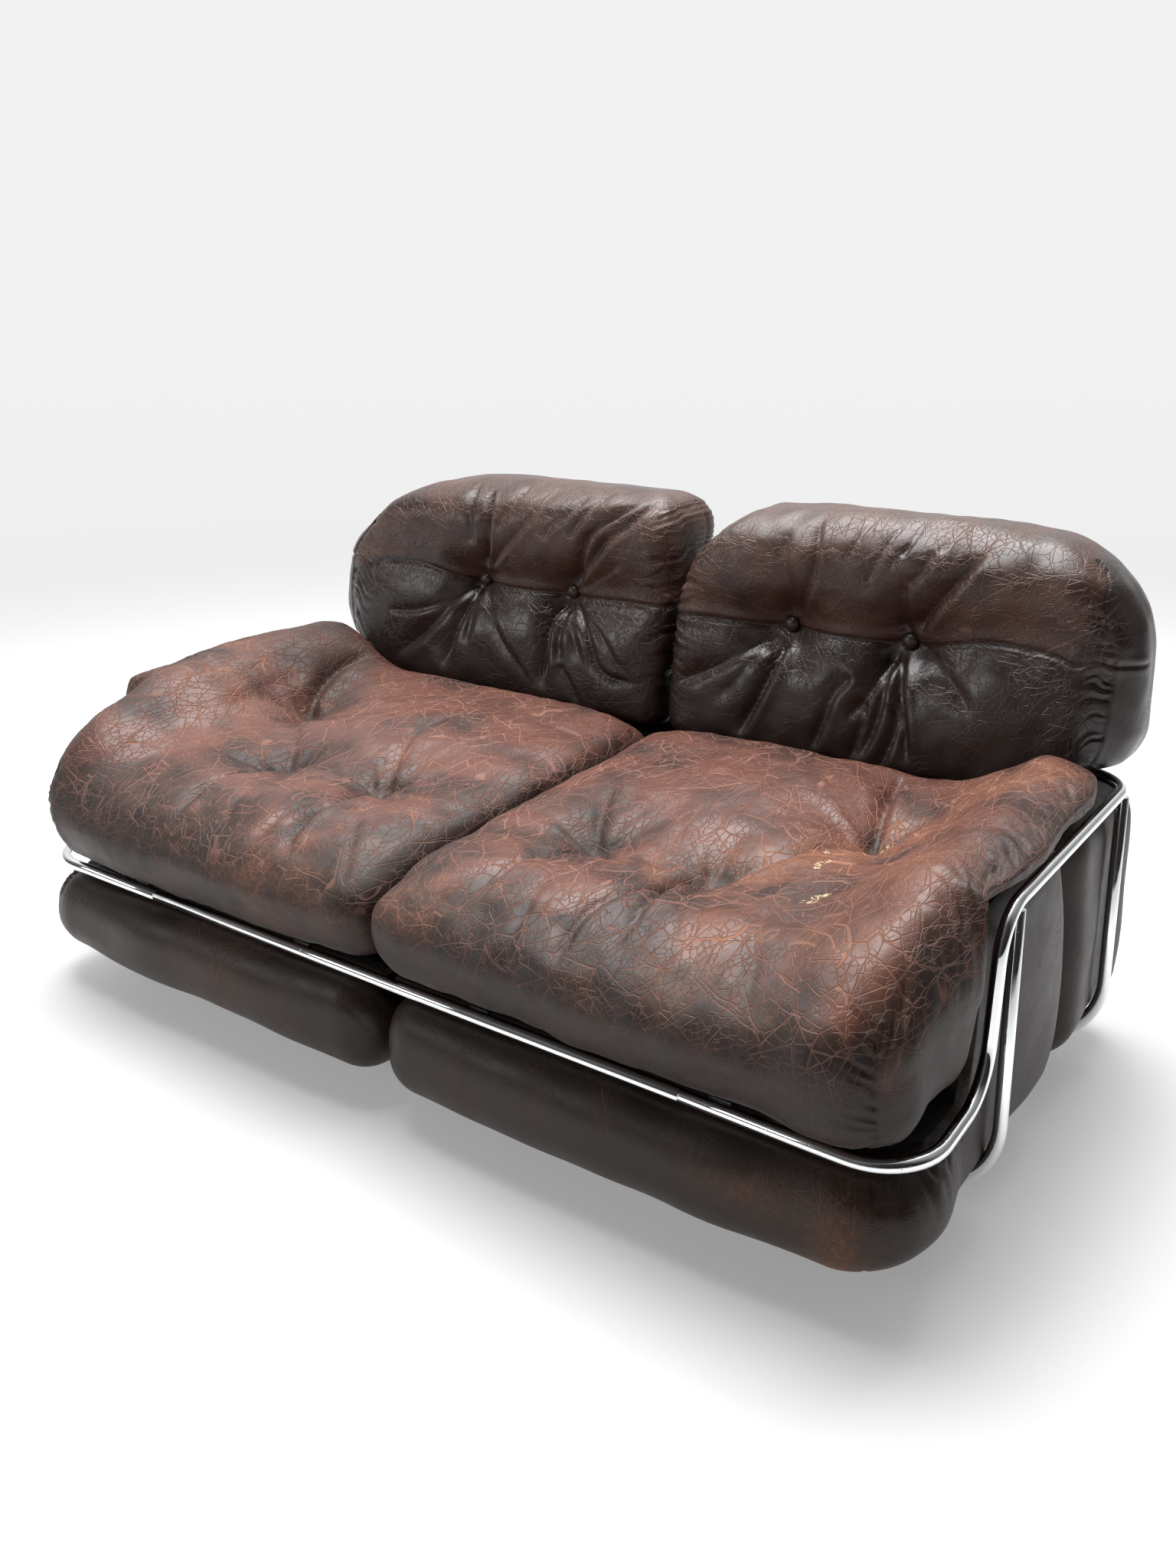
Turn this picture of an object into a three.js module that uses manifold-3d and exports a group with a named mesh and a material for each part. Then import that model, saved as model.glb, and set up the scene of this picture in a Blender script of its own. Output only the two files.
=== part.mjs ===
// Worn leather two-seat sofa on a bent chrome tube frame.
// Millimetres, +Z up, +X to a viewer's right, the sofa faces -Y, floor at z = 0.
// Right-hand pieces are drawn and mirrored; depths are measured from the front rail and
// the finished pieces are slid forward so that the sofa stands centred on the origin.

import * as THREE from "three";
import { mergeVertices } from "three/addons/utils/BufferGeometryUtils.js";
import Module from "manifold-3d";

// ---- whole sofa ---------------------------------------------------------------------
const DEPTH_CENTRE = 445;
const MIDDLE_GAP = 9;

// ---- chrome tube frame ----------------------------------------------------------------
const TUBE_R = 9;
const BORE_R = 7.6;
const SPIGOT_R = 6.8;
const SPIGOT_LENGTH = 64;
const TUBE_SIDES = 10;
const BEND_STEPS = 6;
const SEAM_GAP = 0.4;
const RAIL_X = 790;
const SEAM_X = 492;
const FRONT_RAIL_Z = 216;
const FRONT_CORNER_BEND = 84;
const RISER_FOOT = { y: 206, z: 225, bend: 73 };
const RISER_HEAD = { y: 229, bend: 66 };
const ARM_RAIL_Z = 444;
const REAR_RAIL_Y = 804;
const HOOP_FRONT_Y = 282;
const HOOP_REAR_Y = 746;
const HOOP_BEND = 121;
const HOOP_Z = 15;
const HOOP_TOP_Z = { front: 432.4, rear: 434.6 };

// ---- feet and hidden carcass ----------------------------------------------------------
const SADDLE_R = 9.3;
const GLIDE = { x: 520, length: 44, half: 13, low: 0, high: 12 };
const BLOCK = { outerX: 628, innerX: 150, length: 50, half: 20, low: 19, high: 50.4 };
const PLATFORM = { x0: 14, x1: 628, y0: 14, y1: 545, low: 209, high: 221, corner: 40 };
const BRACKET = { xs: [170, 540], width: 30, y0: 9.6, y1: 62, low: 221.4, high: 223.9, screwY: 44 };
const SCREW = { shank: 2, hole: 2.6, head: 4.2, tip: 209.6, under: 224.1, edge: 225, top: 225.6 };
const SCREW_SIDES = 12;
const UPRIGHT = { xs: [130, 620], width: 36, thick: 4, low: 453.5, high: 640 };
const POCKET = { width: 42, thick: 9, low: 380, high: 646 };

// ---- leather pieces -------------------------------------------------------------------
const RIM_STEPS = [0, 0.55, 1];
const BASE_POD = { x1: 774, y0: -28, y1: 560, low: 52, top: 205, panelTop: 446, r: 66 };
const BASE_BULGE = { front: 36, side: 22, clear: 14, roof: 425 };
const PANEL_RAMP = { x0: 676, x1: 722, y0: 188, y1: 232 };
const REAR_POD = { x1: 776, y0: 566, y1: 880, low: 56, top: 430, r: 60, bulge: 12 };
const REAR_SHELF = { front: 222, middle: 386, y0: 732, y1: 744, railY0: 780, railY1: 800 };
const LINER = { x1: 774, y0: 13, y1: 722, low: 226, armLow: 451, thick: 2.2, corner: 75 };
const LINER_RAMP = { x0: 640, x1: 690, y0: 158, y1: 200 };
const SEAT = { x1: 804, y0: -46, y1: 726, low: 234, wingLow: 459, height: 176, r: 86 };
const SEAT_RAMP = { x0: 604, x1: 650, y0: 128, y1: 168 };
const SEAT_TOP = { front: 408, rear: 436, wingRise: 82, wingX: 560, wingSpan: 150 };
const WING_Y = { start: -10, span: 350 };
const SEAT_TUFTS = [
  { x: 207, y: 216, deep: 30, reach: 60 },
  { x: 401, y: 199, deep: 28, reach: 60 },
  { x: 532, y: 344, deep: 30, reach: 70 },
];
const BACK = { x1: 784, half: 92, low: 392, railLow: 458, top: 815, r: 80 };
const BACK_AXIS = { y: 815, z: 440, lean: 0.095 };
const BACK_STEP = { d0: -47, d1: -27, x0: 660, x1: 667 };
const BUTTON_Z = 613;
const BUTTON_XS = [228, 438];
const TUFT_DEPTH = 56;
const TUFT_REACH = 46;
const BUTTON = { r: 13, rim: 3, dome: 9, y: 778, tilt: 0.095, sides: 16 };

// ---- materials ------------------------------------------------------------------------
const paint = (color, metalness, roughness) =>
  new THREE.MeshStandardMaterial({ color, metalness, roughness });
const chrome = () => paint(0xcfd2d4, 1, 0.12);
const steel = () => paint(0x8d9092, 1, 0.4);
const plywood = () => paint(0xb08a5c, 0, 0.7);
const plastic = () => paint(0x1b1b1c, 0, 0.5);
const linerCloth = () => paint(0x0e0d0d, 0, 0.9);
const podLeather = () => paint(0x34241f, 0, 0.45);
const seatLeather = () => paint(0x5b3730, 0, 0.45);
const backLeather = () => paint(0x472c26, 0, 0.42);

// ---- small helpers --------------------------------------------------------------------
const ramp = (value, from, to) => Math.min(1, Math.max(0, (value - from) / (to - from)));
const mix = (a, b, t) => a + (b - a) * t;
const ease = (t) => t * t * (3 - 2 * t);
const bump = (value, from, to) => Math.sin(Math.PI * ramp(value, from, to));
const at = (x, y, z) => new THREE.Vector3(x, y, z);

function welded(geometry) {
  geometry.deleteAttribute("uv");
  geometry.deleteAttribute("normal");
  return mergeVertices(geometry, 1e-4);
}

function roundHole(x, y, radius) {
  return new THREE.Path().absarc(x, y, radius, 0, 2 * Math.PI, true);
}

// ---- bent tube ------------------------------------------------------------------------
// A path of straight runs joined by round bends: one point at each end of a straight and
// a few round each bend, so that the mesh spends its faces on the bends.
class BentPath extends THREE.Curve {
  constructor(corners, bends) {
    super();
    this.points = [corners[0]];
    bends.forEach((radius, i) => this.addBend(corners[i], corners[i + 1], corners[i + 2], radius));
    this.points.push(corners[corners.length - 1]);
    this.steps = this.points.length - 1;
  }

  addBend(before, corner, after, radius) {
    const into = corner.clone().sub(before).normalize();
    const out = after.clone().sub(corner).normalize();
    const turn = into.angleTo(out);
    const axis = into.clone().cross(out).normalize();
    const start = corner.clone().addScaledVector(into, -radius * Math.tan(turn / 2));
    const centre = start.clone().addScaledVector(axis.clone().cross(into), radius);
    for (let s = 0; s <= BEND_STEPS; s += 1) {
      const arm = start.clone().sub(centre).applyAxisAngle(axis, (turn * s) / BEND_STEPS);
      this.points.push(centre.clone().add(arm));
    }
  }

  getPoint(share, target = new THREE.Vector3()) {
    const place = share * this.steps;
    const i = Math.min(this.steps - 1, Math.floor(place));
    return target.lerpVectors(this.points[i], this.points[i + 1], place - i);
  }

  getPointAt(share, target) {
    return this.getPoint(share, target);
  }

  getTangentAt(share, target = new THREE.Vector3()) {
    const i = Math.round(share * this.steps);
    const direction = (k) => this.points[k + 1].clone().sub(this.points[k]).normalize();
    target.set(0, 0, 0);
    if (i > 0) target.add(direction(i - 1));
    if (i < this.steps) target.add(direction(i));
    return target.normalize();
  }
}

function bentTube(corners, bends) {
  const path = new BentPath(corners, bends);
  const ring = new THREE.Shape().absarc(0, 0, TUBE_R, 0, 2 * Math.PI, false);
  ring.holes.push(roundHole(0, 0, BORE_R));
  const options = { steps: path.steps, extrudePath: path, curveSegments: TUBE_SIDES / 2 };
  return welded(new THREE.ExtrudeGeometry(ring, options));
}

function sideRail() {
  const corners = [
    at(SEAM_X + SEAM_GAP, 0, FRONT_RAIL_Z),
    at(RAIL_X, 0, FRONT_RAIL_Z),
    at(RAIL_X, RISER_FOOT.y, RISER_FOOT.z),
    at(RAIL_X, RISER_HEAD.y, ARM_RAIL_Z),
    at(RAIL_X, REAR_RAIL_Y, ARM_RAIL_Z),
    at(SEAM_X + SEAM_GAP, REAR_RAIL_Y, ARM_RAIL_Z),
  ];
  const bends = [FRONT_CORNER_BEND, RISER_FOOT.bend, RISER_HEAD.bend, FRONT_CORNER_BEND];
  return bentTube(corners, bends);
}

function straightRail(y, z) {
  return bentTube([at(-SEAM_X, y, z), at(SEAM_X, y, z)], []);
}

function spigot(y, z) {
  const rod = new THREE.CylinderGeometry(SPIGOT_R, SPIGOT_R, SPIGOT_LENGTH, TUBE_SIDES);
  return welded(rod.rotateZ(Math.PI / 2).translate(SEAM_X, y, z));
}

function hoop(y, top) {
  const corners = [
    at(RAIL_X, y, top),
    at(RAIL_X, y, HOOP_Z),
    at(-RAIL_X, y, HOOP_Z),
    at(-RAIL_X, y, top),
  ];
  return bentTube(corners, [HOOP_BEND, HOOP_BEND]);
}

// ---- saddles on the hoops -------------------------------------------------------------
// Profile in the depth/height plane, run along X; `above` puts the notch on the upper side.
function saddle(part, x, y, above) {
  const edge = above ? part.high : part.low;
  const rise = edge - HOOP_Z;
  const angle = Math.asin(rise / SADDLE_R);
  const outline = new THREE.Shape();
  if (above) {
    outline.moveTo(-part.half, part.low);
    outline.lineTo(part.half, part.low);
    outline.lineTo(part.half, part.high);
    outline.absarc(0, HOOP_Z, SADDLE_R, angle, -Math.PI - angle, true);
    outline.lineTo(-part.half, part.high);
  } else {
    outline.moveTo(part.half, part.high);
    outline.lineTo(-part.half, part.high);
    outline.lineTo(-part.half, part.low);
    outline.absarc(0, HOOP_Z, SADDLE_R, Math.PI - angle, angle, true);
    outline.lineTo(part.half, part.low);
  }
  const run = new THREE.ExtrudeGeometry(outline, {
    depth: part.length,
    bevelEnabled: false,
    curveSegments: 6,
  });
  const turn = new THREE.Matrix4().makeBasis(at(0, 1, 0), at(0, 0, 1), at(1, 0, 0));
  return welded(run.applyMatrix4(turn).translate(x - part.length / 2, y, 0));
}

// ---- deck boards and fittings ---------------------------------------------------------
function slab(outline, low, high) {
  const board = new THREE.ExtrudeGeometry(outline, {
    depth: high - low,
    bevelEnabled: false,
    curveSegments: 6,
  });
  return welded(board.translate(0, 0, low));
}

function platform() {
  const { x0, x1, y0, y1, corner } = PLATFORM;
  const outline = new THREE.Shape();
  outline.moveTo(x0, y0);
  outline.lineTo(x1 - corner, y0);
  outline.absarc(x1 - corner, y0 + corner, corner, -Math.PI / 2, 0, false);
  outline.lineTo(x1, y1);
  outline.lineTo(x0, y1);
  outline.closePath();
  BRACKET.xs.forEach((x) => outline.holes.push(roundHole(x, BRACKET.screwY, SCREW.hole)));
  return slab(outline, PLATFORM.low, PLATFORM.high);
}

function bracket(x) {
  const half = BRACKET.width / 2;
  const outline = new THREE.Shape();
  outline.moveTo(x - half, BRACKET.y0);
  outline.lineTo(x + half, BRACKET.y0);
  outline.lineTo(x + half, BRACKET.y1);
  outline.lineTo(x - half, BRACKET.y1);
  outline.closePath();
  outline.holes.push(roundHole(x, BRACKET.screwY, SCREW.hole));
  return slab(outline, BRACKET.low, BRACKET.high);
}

function screw(x) {
  const profile = [
    [0, SCREW.tip],
    [SCREW.shank, SCREW.tip],
    [SCREW.shank, SCREW.under],
    [SCREW.head, SCREW.under],
    [SCREW.head, SCREW.edge],
    [SCREW.head * 0.7, SCREW.top],
    [0, SCREW.top],
  ].map(([r, z]) => new THREE.Vector2(r, z));
  const turned = new THREE.LatheGeometry(profile, SCREW_SIDES);
  return welded(turned.rotateX(Math.PI / 2).translate(x, BRACKET.screwY, 0));
}

function upright(x) {
  const { width, thick, low, high } = UPRIGHT;
  const bar = new THREE.BoxGeometry(width, thick, high - low);
  return welded(bar.translate(x, REAR_RAIL_Y, (low + high) / 2));
}

// ---- soft pieces ----------------------------------------------------------------------
// Grid lines from `from` to `to`, closer together over the rounded rim of radius r.
function lines(from, to, r, between) {
  const rim = RIM_STEPS.map((step) => step * r);
  const near = rim.map((inset) => from + inset);
  const far = rim.map((inset) => to - inset).reverse();
  return [...near, ...between, ...far];
}

// A block on the given grid lines with every edge rounded to r; `place` then puts each
// point (x, y, height in the block) where it belongs in the sofa.
function softBlock(xs, ys, zs, r, place) {
  const cells = [xs.length - 1, ys.length - 1, zs.length - 1];
  const geometry = welded(new THREE.BoxGeometry(1, 1, 1, ...cells));
  const position = geometry.getAttribute("position");
  const grids = [xs, ys, zs];
  for (let i = 0; i < position.count; i += 1) {
    const spot = grids.map((grid, axis) => {
      const share = position.getComponent(i, axis) + 0.5;
      return grid[Math.round(share * cells[axis])];
    });
    const core = spot.map((value, axis) => {
      const grid = grids[axis];
      return Math.min(grid[grid.length - 1] - r, Math.max(grid[0] + r, value));
    });
    const out = spot.map((value, axis) => value - core[axis]);
    const length = Math.hypot(...out);
    const scale = length > 0 ? r / length : 0;
    const rounded = core.map((value, axis) => value + out[axis] * scale);
    position.setXYZ(i, ...place(...rounded));
  }
  return geometry;
}

function basePod() {
  const { x1, y0, y1, low, top, panelTop, r } = BASE_POD;
  const height = top - low;
  const xs = lines(MIDDLE_GAP, x1, r, [250, 460, PANEL_RAMP.x0]);
  const ys = lines(y0, y1, r, [110, PANEL_RAMP.y0, PANEL_RAMP.y1, HOOP_FRONT_Y, 350, 430]);
  const zs = lines(0, height, r, [mix(r, height - r, 1 / 3), mix(r, height - r, 2 / 3)]);
  return softBlock(xs, ys, zs, r, (x, y, z) => {
    const side = ramp(x, PANEL_RAMP.x0, PANEL_RAMP.x1);
    const rise = side * ramp(y, PANEL_RAMP.y0, PANEL_RAMP.y1);
    const level = low + z + (panelTop - top) * rise * ramp(z, r, height - r);
    const outer = ramp(x, x1 - r, x1);
    const { front, side: panel, clear, roof } = BASE_BULGE;
    const ahead = front * bump(y, y0 - 120, PANEL_RAMP.y0) * bump(level, low, top);
    const beside = panel * bump(y, HOOP_FRONT_Y + clear, y1 + 20) * bump(level, low, roof);
    return [x + outer * (ahead + beside), y, level];
  });
}

function rearPod() {
  const { x1, y0, y1, low, top, r, bulge } = REAR_POD;
  const height = top - low;
  const { railY0, railY1 } = REAR_SHELF;
  const xs = lines(MIDDLE_GAP, x1, r, [250, 460, PANEL_RAMP.x0]);
  const ys = lines(y0, y1, r, [REAR_SHELF.y0, REAR_SHELF.y1, railY0, railY1]);
  const zs = lines(0, height, r, []);
  return softBlock(xs, ys, zs, r, (x, y, z) => {
    const side = ramp(x, PANEL_RAMP.x0, PANEL_RAMP.x1);
    const shelf = mix(REAR_SHELF.front, REAR_SHELF.middle, ramp(y, REAR_SHELF.y0, REAR_SHELF.y1));
    const roof = mix(shelf, top, Math.max(side, ramp(y, railY0, railY1)));
    const drop = (top - roof) * ramp(z, r, height - r);
    const outer = ramp(x, x1 - r, x1);
    const swell = bulge * bump(y, HOOP_REAR_Y + 12, y1 + 60) * bump(z, 0, height);
    return [x + outer * swell, y, low + z - drop];
  });
}

// Heights of the thin liner that lies between the boards and the seat cushion.
function linerHeight(x, y) {
  const side = ramp(x, LINER_RAMP.x0, LINER_RAMP.x1) * ramp(y, LINER_RAMP.y0, LINER_RAMP.y1);
  return mix(LINER.low, LINER.armLow, side);
}

function liner() {
  const { x1, y0, y1, thick, corner } = LINER;
  const xs = [12, 320, LINER_RAMP.x0, LINER_RAMP.x1, 722, 742, 758, x1];
  const ys = [y0, 33, 58, y0 + corner, LINER_RAMP.y0, LINER_RAMP.y1, 440, y1];
  return softBlock(xs, ys, [0, thick], 0, (x, y, z) => {
    const outX = Math.max(0, x - (x1 - corner));
    const outY = Math.max(0, y0 + corner - y);
    const reach = Math.hypot(outX, outY);
    const pull = reach > 0 ? Math.max(outX, outY) / reach : 1;
    const rise = linerHeight(x, y);
    return [x - outX * (1 - pull), y + outY * (1 - pull), rise + z];
  });
}

function seatTop(x, y) {
  const slope = mix(SEAT_TOP.front, SEAT_TOP.rear, ramp(y, 0, 640));
  const wing = ease(ramp(x, SEAT_TOP.wingX, SEAT_TOP.wingX + SEAT_TOP.wingSpan));
  const along = ease(ramp(y, WING_Y.start, WING_Y.start + WING_Y.span));
  const tufts = SEAT_TUFTS.reduce((sum, tuft) => {
    const far = Math.hypot(x - tuft.x, y - tuft.y) / tuft.reach;
    return sum + tuft.deep * Math.exp(-0.5 * far * far);
  }, 0);
  return slope + SEAT_TOP.wingRise * wing * along - tufts;
}

function seatCushion() {
  const { x1, y0, y1, low, wingLow, height, r } = SEAT;
  const acrossTop = [130, 207, 304, 401, 470, 532, SEAT_RAMP.x0, SEAT_RAMP.x1, 690];
  const xs = lines(MIDDLE_GAP, x1, r, acrossTop);
  const ys = lines(y0, y1, r, [SEAT_RAMP.y0, SEAT_RAMP.y1, 205, 270, 344, 440, 530]);
  const zs = lines(0, height, r, []);
  return softBlock(xs, ys, zs, r, (x, y, z) => {
    const side = ramp(x, SEAT_RAMP.x0, SEAT_RAMP.x1) * ramp(y, SEAT_RAMP.y0, SEAT_RAMP.y1);
    const bottom = mix(low, wingLow, side);
    return [x, y, mix(bottom, seatTop(x, y), z / height)];
  });
}

function backTufts(x, z) {
  return BUTTON_XS.reduce((sum, middle) => {
    const far = Math.hypot(x - middle, z - BUTTON_Z) / TUFT_REACH;
    return sum + TUFT_DEPTH * Math.exp(-0.5 * far * far);
  }, 0);
}

function backCushion() {
  const { x1, half, low, railLow, top, r } = BACK;
  const height = top - low;
  const xs = lines(MIDDLE_GAP, x1, r, [158, 228, 333, 438, 510, 610, BACK_STEP.x0]);
  const ds = lines(-half, half, r, []).concat([BACK_STEP.d0, BACK_STEP.d1]).sort((a, b) => a - b);
  const buttonHeight = BUTTON_Z - low;
  const zs = lines(0, height, r, [buttonHeight - 70, buttonHeight, buttonHeight + 66]);
  const body = softBlock(xs, ds, zs, r, (x, d, z) => {
    const overRear = ramp(d, BACK_STEP.d0, BACK_STEP.d1);
    const overArm = ramp(x, BACK_STEP.x0, BACK_STEP.x1);
    const bottom = mix(low, railLow, Math.max(overRear, overArm));
    const level = mix(bottom, top, z / height);
    const face = ramp(-d, 0, half);
    const y = BACK_AXIS.y + d + BACK_AXIS.lean * (level - BACK_AXIS.z);
    return [x, y + face * backTufts(x, level), level];
  });
  return UPRIGHT.xs.reduce((rest, x) => {
    const pocket = new THREE.BoxGeometry(POCKET.width, POCKET.thick, POCKET.high - POCKET.low);
    pocket.translate(x, REAR_RAIL_Y, (POCKET.low + POCKET.high) / 2);
    return cut(rest, welded(pocket));
  }, body);
}

function asManifold(geometry) {
  return new wasm.Manifold(
    new wasm.Mesh({
      numProp: 3,
      vertProperties: new Float32Array(geometry.getAttribute("position").array),
      triVerts: new Uint32Array(geometry.getIndex().array),
    }),
  );
}

function cut(from, tool) {
  const mesh = asManifold(from).subtract(asManifold(tool)).getMesh();
  const geometry = new THREE.BufferGeometry();
  geometry.setAttribute("position", new THREE.Float32BufferAttribute(mesh.vertProperties, 3));
  geometry.setIndex(new THREE.Uint32BufferAttribute(mesh.triVerts, 1));
  return geometry;
}

function button(x) {
  const { r, rim, dome, y, tilt, sides } = BUTTON;
  const profile = [
    [0, 0],
    [r - 1, 0],
    [r, 1.2],
    [r, rim],
    [r * 0.86, rim + (dome - rim) * 0.5],
    [r * 0.5, dome - 1],
    [0, dome],
  ].map(([radius, out]) => new THREE.Vector2(radius, out));
  const turned = new THREE.LatheGeometry(profile, sides);
  return welded(turned.rotateX(Math.PI - tilt).translate(x, y, BUTTON_Z));
}

// ---- assembly -------------------------------------------------------------------------
const wasm = await Module();
wasm.setup();

const sofa = new THREE.Group();
sofa.position.y = -DEPTH_CENTRE;

function add(group, name, geometry, material) {
  const mesh = new THREE.Mesh(geometry, material);
  mesh.name = name;
  group.add(mesh);
}

function addHalf(hand) {
  const half = new THREE.Group();
  half.scale.x = hand === "left" ? -1 : 1;
  add(half, `rail_${hand}`, sideRail(), chrome());
  add(half, `spigot_front_${hand}`, spigot(0, FRONT_RAIL_Z), steel());
  add(half, `spigot_rear_${hand}`, spigot(REAR_RAIL_Y, ARM_RAIL_Z), steel());
  [["front", HOOP_FRONT_Y], ["rear", HOOP_REAR_Y]].forEach(([place, y]) => {
    add(half, `glide_${place}_${hand}`, saddle(GLIDE, GLIDE.x, y, true), plastic());
    add(half, `block_${place}_outer_${hand}`, saddle(BLOCK, BLOCK.outerX, y, false), plywood());
    add(half, `block_${place}_inner_${hand}`, saddle(BLOCK, BLOCK.innerX, y, false), plywood());
  });
  add(half, `platform_${hand}`, platform(), plywood());
  ["inner", "outer"].forEach((place, i) => {
    add(half, `bracket_${place}_${hand}`, bracket(BRACKET.xs[i]), steel());
    add(half, `screw_${place}_${hand}`, screw(BRACKET.xs[i]), steel());
    add(half, `upright_${place}_${hand}`, upright(UPRIGHT.xs[i]), steel());
    add(half, `button_${place}_${hand}`, button(BUTTON_XS[i]), backLeather());
  });
  add(half, `liner_${hand}`, liner(), linerCloth());
  add(half, `base_pod_${hand}`, basePod(), podLeather());
  add(half, `rear_pod_${hand}`, rearPod(), podLeather());
  add(half, `seat_cushion_${hand}`, seatCushion(), seatLeather());
  add(half, `back_cushion_${hand}`, backCushion(), backLeather());
  sofa.add(half);
}

addHalf("left");
addHalf("right");
add(sofa, "rail_front", straightRail(0, FRONT_RAIL_Z), chrome());
add(sofa, "rail_rear", straightRail(REAR_RAIL_Y, ARM_RAIL_Z), chrome());
add(sofa, "hoop_front", hoop(HOOP_FRONT_Y, HOOP_TOP_Z.front), chrome());
add(sofa, "hoop_rear", hoop(HOOP_REAR_Y, HOOP_TOP_Z.rear), chrome());

export default sofa;
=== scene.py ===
"""A worn leather two-seat sofa: cushions and pods of cracked brown leather in a bent chrome tube frame."""

import math

import bpy
import numpy as np
from mathutils import Matrix, Vector
from mathutils.bvhtree import BVHTree


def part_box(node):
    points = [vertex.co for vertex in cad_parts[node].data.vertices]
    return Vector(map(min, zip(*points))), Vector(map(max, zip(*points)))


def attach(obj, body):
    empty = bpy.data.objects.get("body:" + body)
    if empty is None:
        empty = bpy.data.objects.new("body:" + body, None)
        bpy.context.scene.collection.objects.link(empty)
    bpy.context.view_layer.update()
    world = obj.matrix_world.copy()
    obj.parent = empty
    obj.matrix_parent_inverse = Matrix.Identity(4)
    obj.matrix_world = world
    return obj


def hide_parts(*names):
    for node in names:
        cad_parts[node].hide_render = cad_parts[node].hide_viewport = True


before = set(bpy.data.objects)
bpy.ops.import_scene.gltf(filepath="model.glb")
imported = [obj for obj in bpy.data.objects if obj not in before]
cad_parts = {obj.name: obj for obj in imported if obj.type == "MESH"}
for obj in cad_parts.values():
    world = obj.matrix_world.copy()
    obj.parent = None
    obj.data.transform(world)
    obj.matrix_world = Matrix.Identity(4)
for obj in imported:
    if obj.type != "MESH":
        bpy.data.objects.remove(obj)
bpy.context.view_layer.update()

MM = 0.001
HANDS = {"left": -1, "right": 1}


# ---------------------------------------------------------------- shapes as arrays
def ease(share):
    share = np.clip(share, 0, 1)
    return share * share * (3 - 2 * share)


def between(value, start, end):
    """0 before start, 1 after end, eased in between."""
    return ease((value - start) / (end - start))


def hill(distance, reach):
    return np.exp(-0.5 * (distance / reach) ** 2)


def mixed(a, b, share):
    return a + (b - a) * share


def grid_lines(low, high, step):
    return np.linspace(low, high, max(3, int(round((high - low) / step)) + 1))


class Block:
    """A closed block on three sets of grid lines.

    square holds each surface point's place on the sharp block, at its place once the edges are
    rounded, and faces the four corners of each small face.
    """

    def __init__(self, xs, ys, zs, radius, low_edge=2.0, high_edge=2.0, inner_edge=2.0, inner_plan=2.0):
        self.lines = (xs, ys, zs)
        self.radius = radius
        self.edges = (low_edge, high_edge, inner_edge)
        self.inner_plan = inner_plan
        counts = [len(line) for line in self.lines]
        keys, quads = [], []
        for axis in range(3):
            a, b = (axis + 1) % 3, (axis + 2) % 3
            ia, ib = np.meshgrid(np.arange(counts[a]), np.arange(counts[b]), indexing="ij")
            for end in (0, counts[axis] - 1):
                place = [None, None, None]
                place[axis], place[a], place[b] = np.full_like(ia, end), ia, ib
                key = (place[0] * counts[1] + place[1]) * counts[2] + place[2]
                quad = np.stack([key[:-1, :-1], key[1:, :-1], key[1:, 1:], key[:-1, 1:]], axis=-1)
                quads.append((quad if end else quad[..., ::-1]).reshape(-1, 4))
                keys.append(key.ravel())
        found, inverse = np.unique(np.concatenate(quads).ravel(), return_inverse=True)
        self.faces = inverse.reshape(-1, 4)
        k = found % counts[2]
        j = (found // counts[2]) % counts[1]
        i = found // (counts[1] * counts[2])
        self.square = np.stack([xs[i], ys[j], zs[k]], axis=1)
        self.at = self.rounded(self.square)

    def rounded(self, square):
        """Points on the sharp block moved on to the rounded one.

        An edge of 2 is a true quarter round, and a larger number makes it squarer.
        """
        low = np.array([line[0] for line in self.lines]) + self.radius
        high = np.array([line[-1] for line in self.lines]) - self.radius
        core = np.clip(square, low, high)
        out = square - core
        bend = np.where(out[:, 0] < 0, self.inner_plan, 2.0)
        plan = (np.abs(out[:, 0]) ** bend + np.abs(out[:, 1]) ** bend) ** (1 / bend)
        inward = np.clip(-out[:, 0] / np.maximum(plan, 1e-9), 0, 1)
        power = np.where(out[:, 2] < 0, self.edges[0], mixed(self.edges[1], self.edges[2], inward))
        length = (plan**power + np.abs(out[:, 2]) ** power) ** (1 / power)
        return core + out * (self.radius / np.where(length > 0, length, 1))[:, None]


def point_normals(points, faces):
    """Unit normals at the points of a mesh of four-cornered faces."""
    corners = points[faces]
    across = np.cross(corners[:, 2] - corners[:, 0], corners[:, 3] - corners[:, 1])
    total = np.zeros_like(points)
    for k in range(4):
        np.add.at(total, faces[:, k], across)
    return total / np.maximum(np.linalg.norm(total, axis=1, keepdims=True), 1e-12)


def line_of(points, count=24):
    """A smooth curve through a few points, as many short steps."""
    points = np.asarray(points, float)
    if len(points) == 2:
        share = np.linspace(0, 1, count)[:, None]
        return points[0] + (points[1] - points[0]) * share
    ends = np.vstack([2 * points[0] - points[1], points, 2 * points[-1] - points[-2]])
    out = []
    per = max(2, count // (len(points) - 1))
    for i in range(1, len(ends) - 2):
        t = np.linspace(0, 1, per, endpoint=i == len(ends) - 3)[:, None]
        p0, p1, p2, p3 = ends[i - 1 : i + 3]
        curve = 2 * p0 - 5 * p1 + 4 * p2 - p3
        twist = 3 * p1 - p0 - 3 * p2 + p3
        out.append(0.5 * (2 * p1 + (p2 - p0) * t + curve * t**2 + twist * t**3))
    return np.vstack(out)


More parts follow.
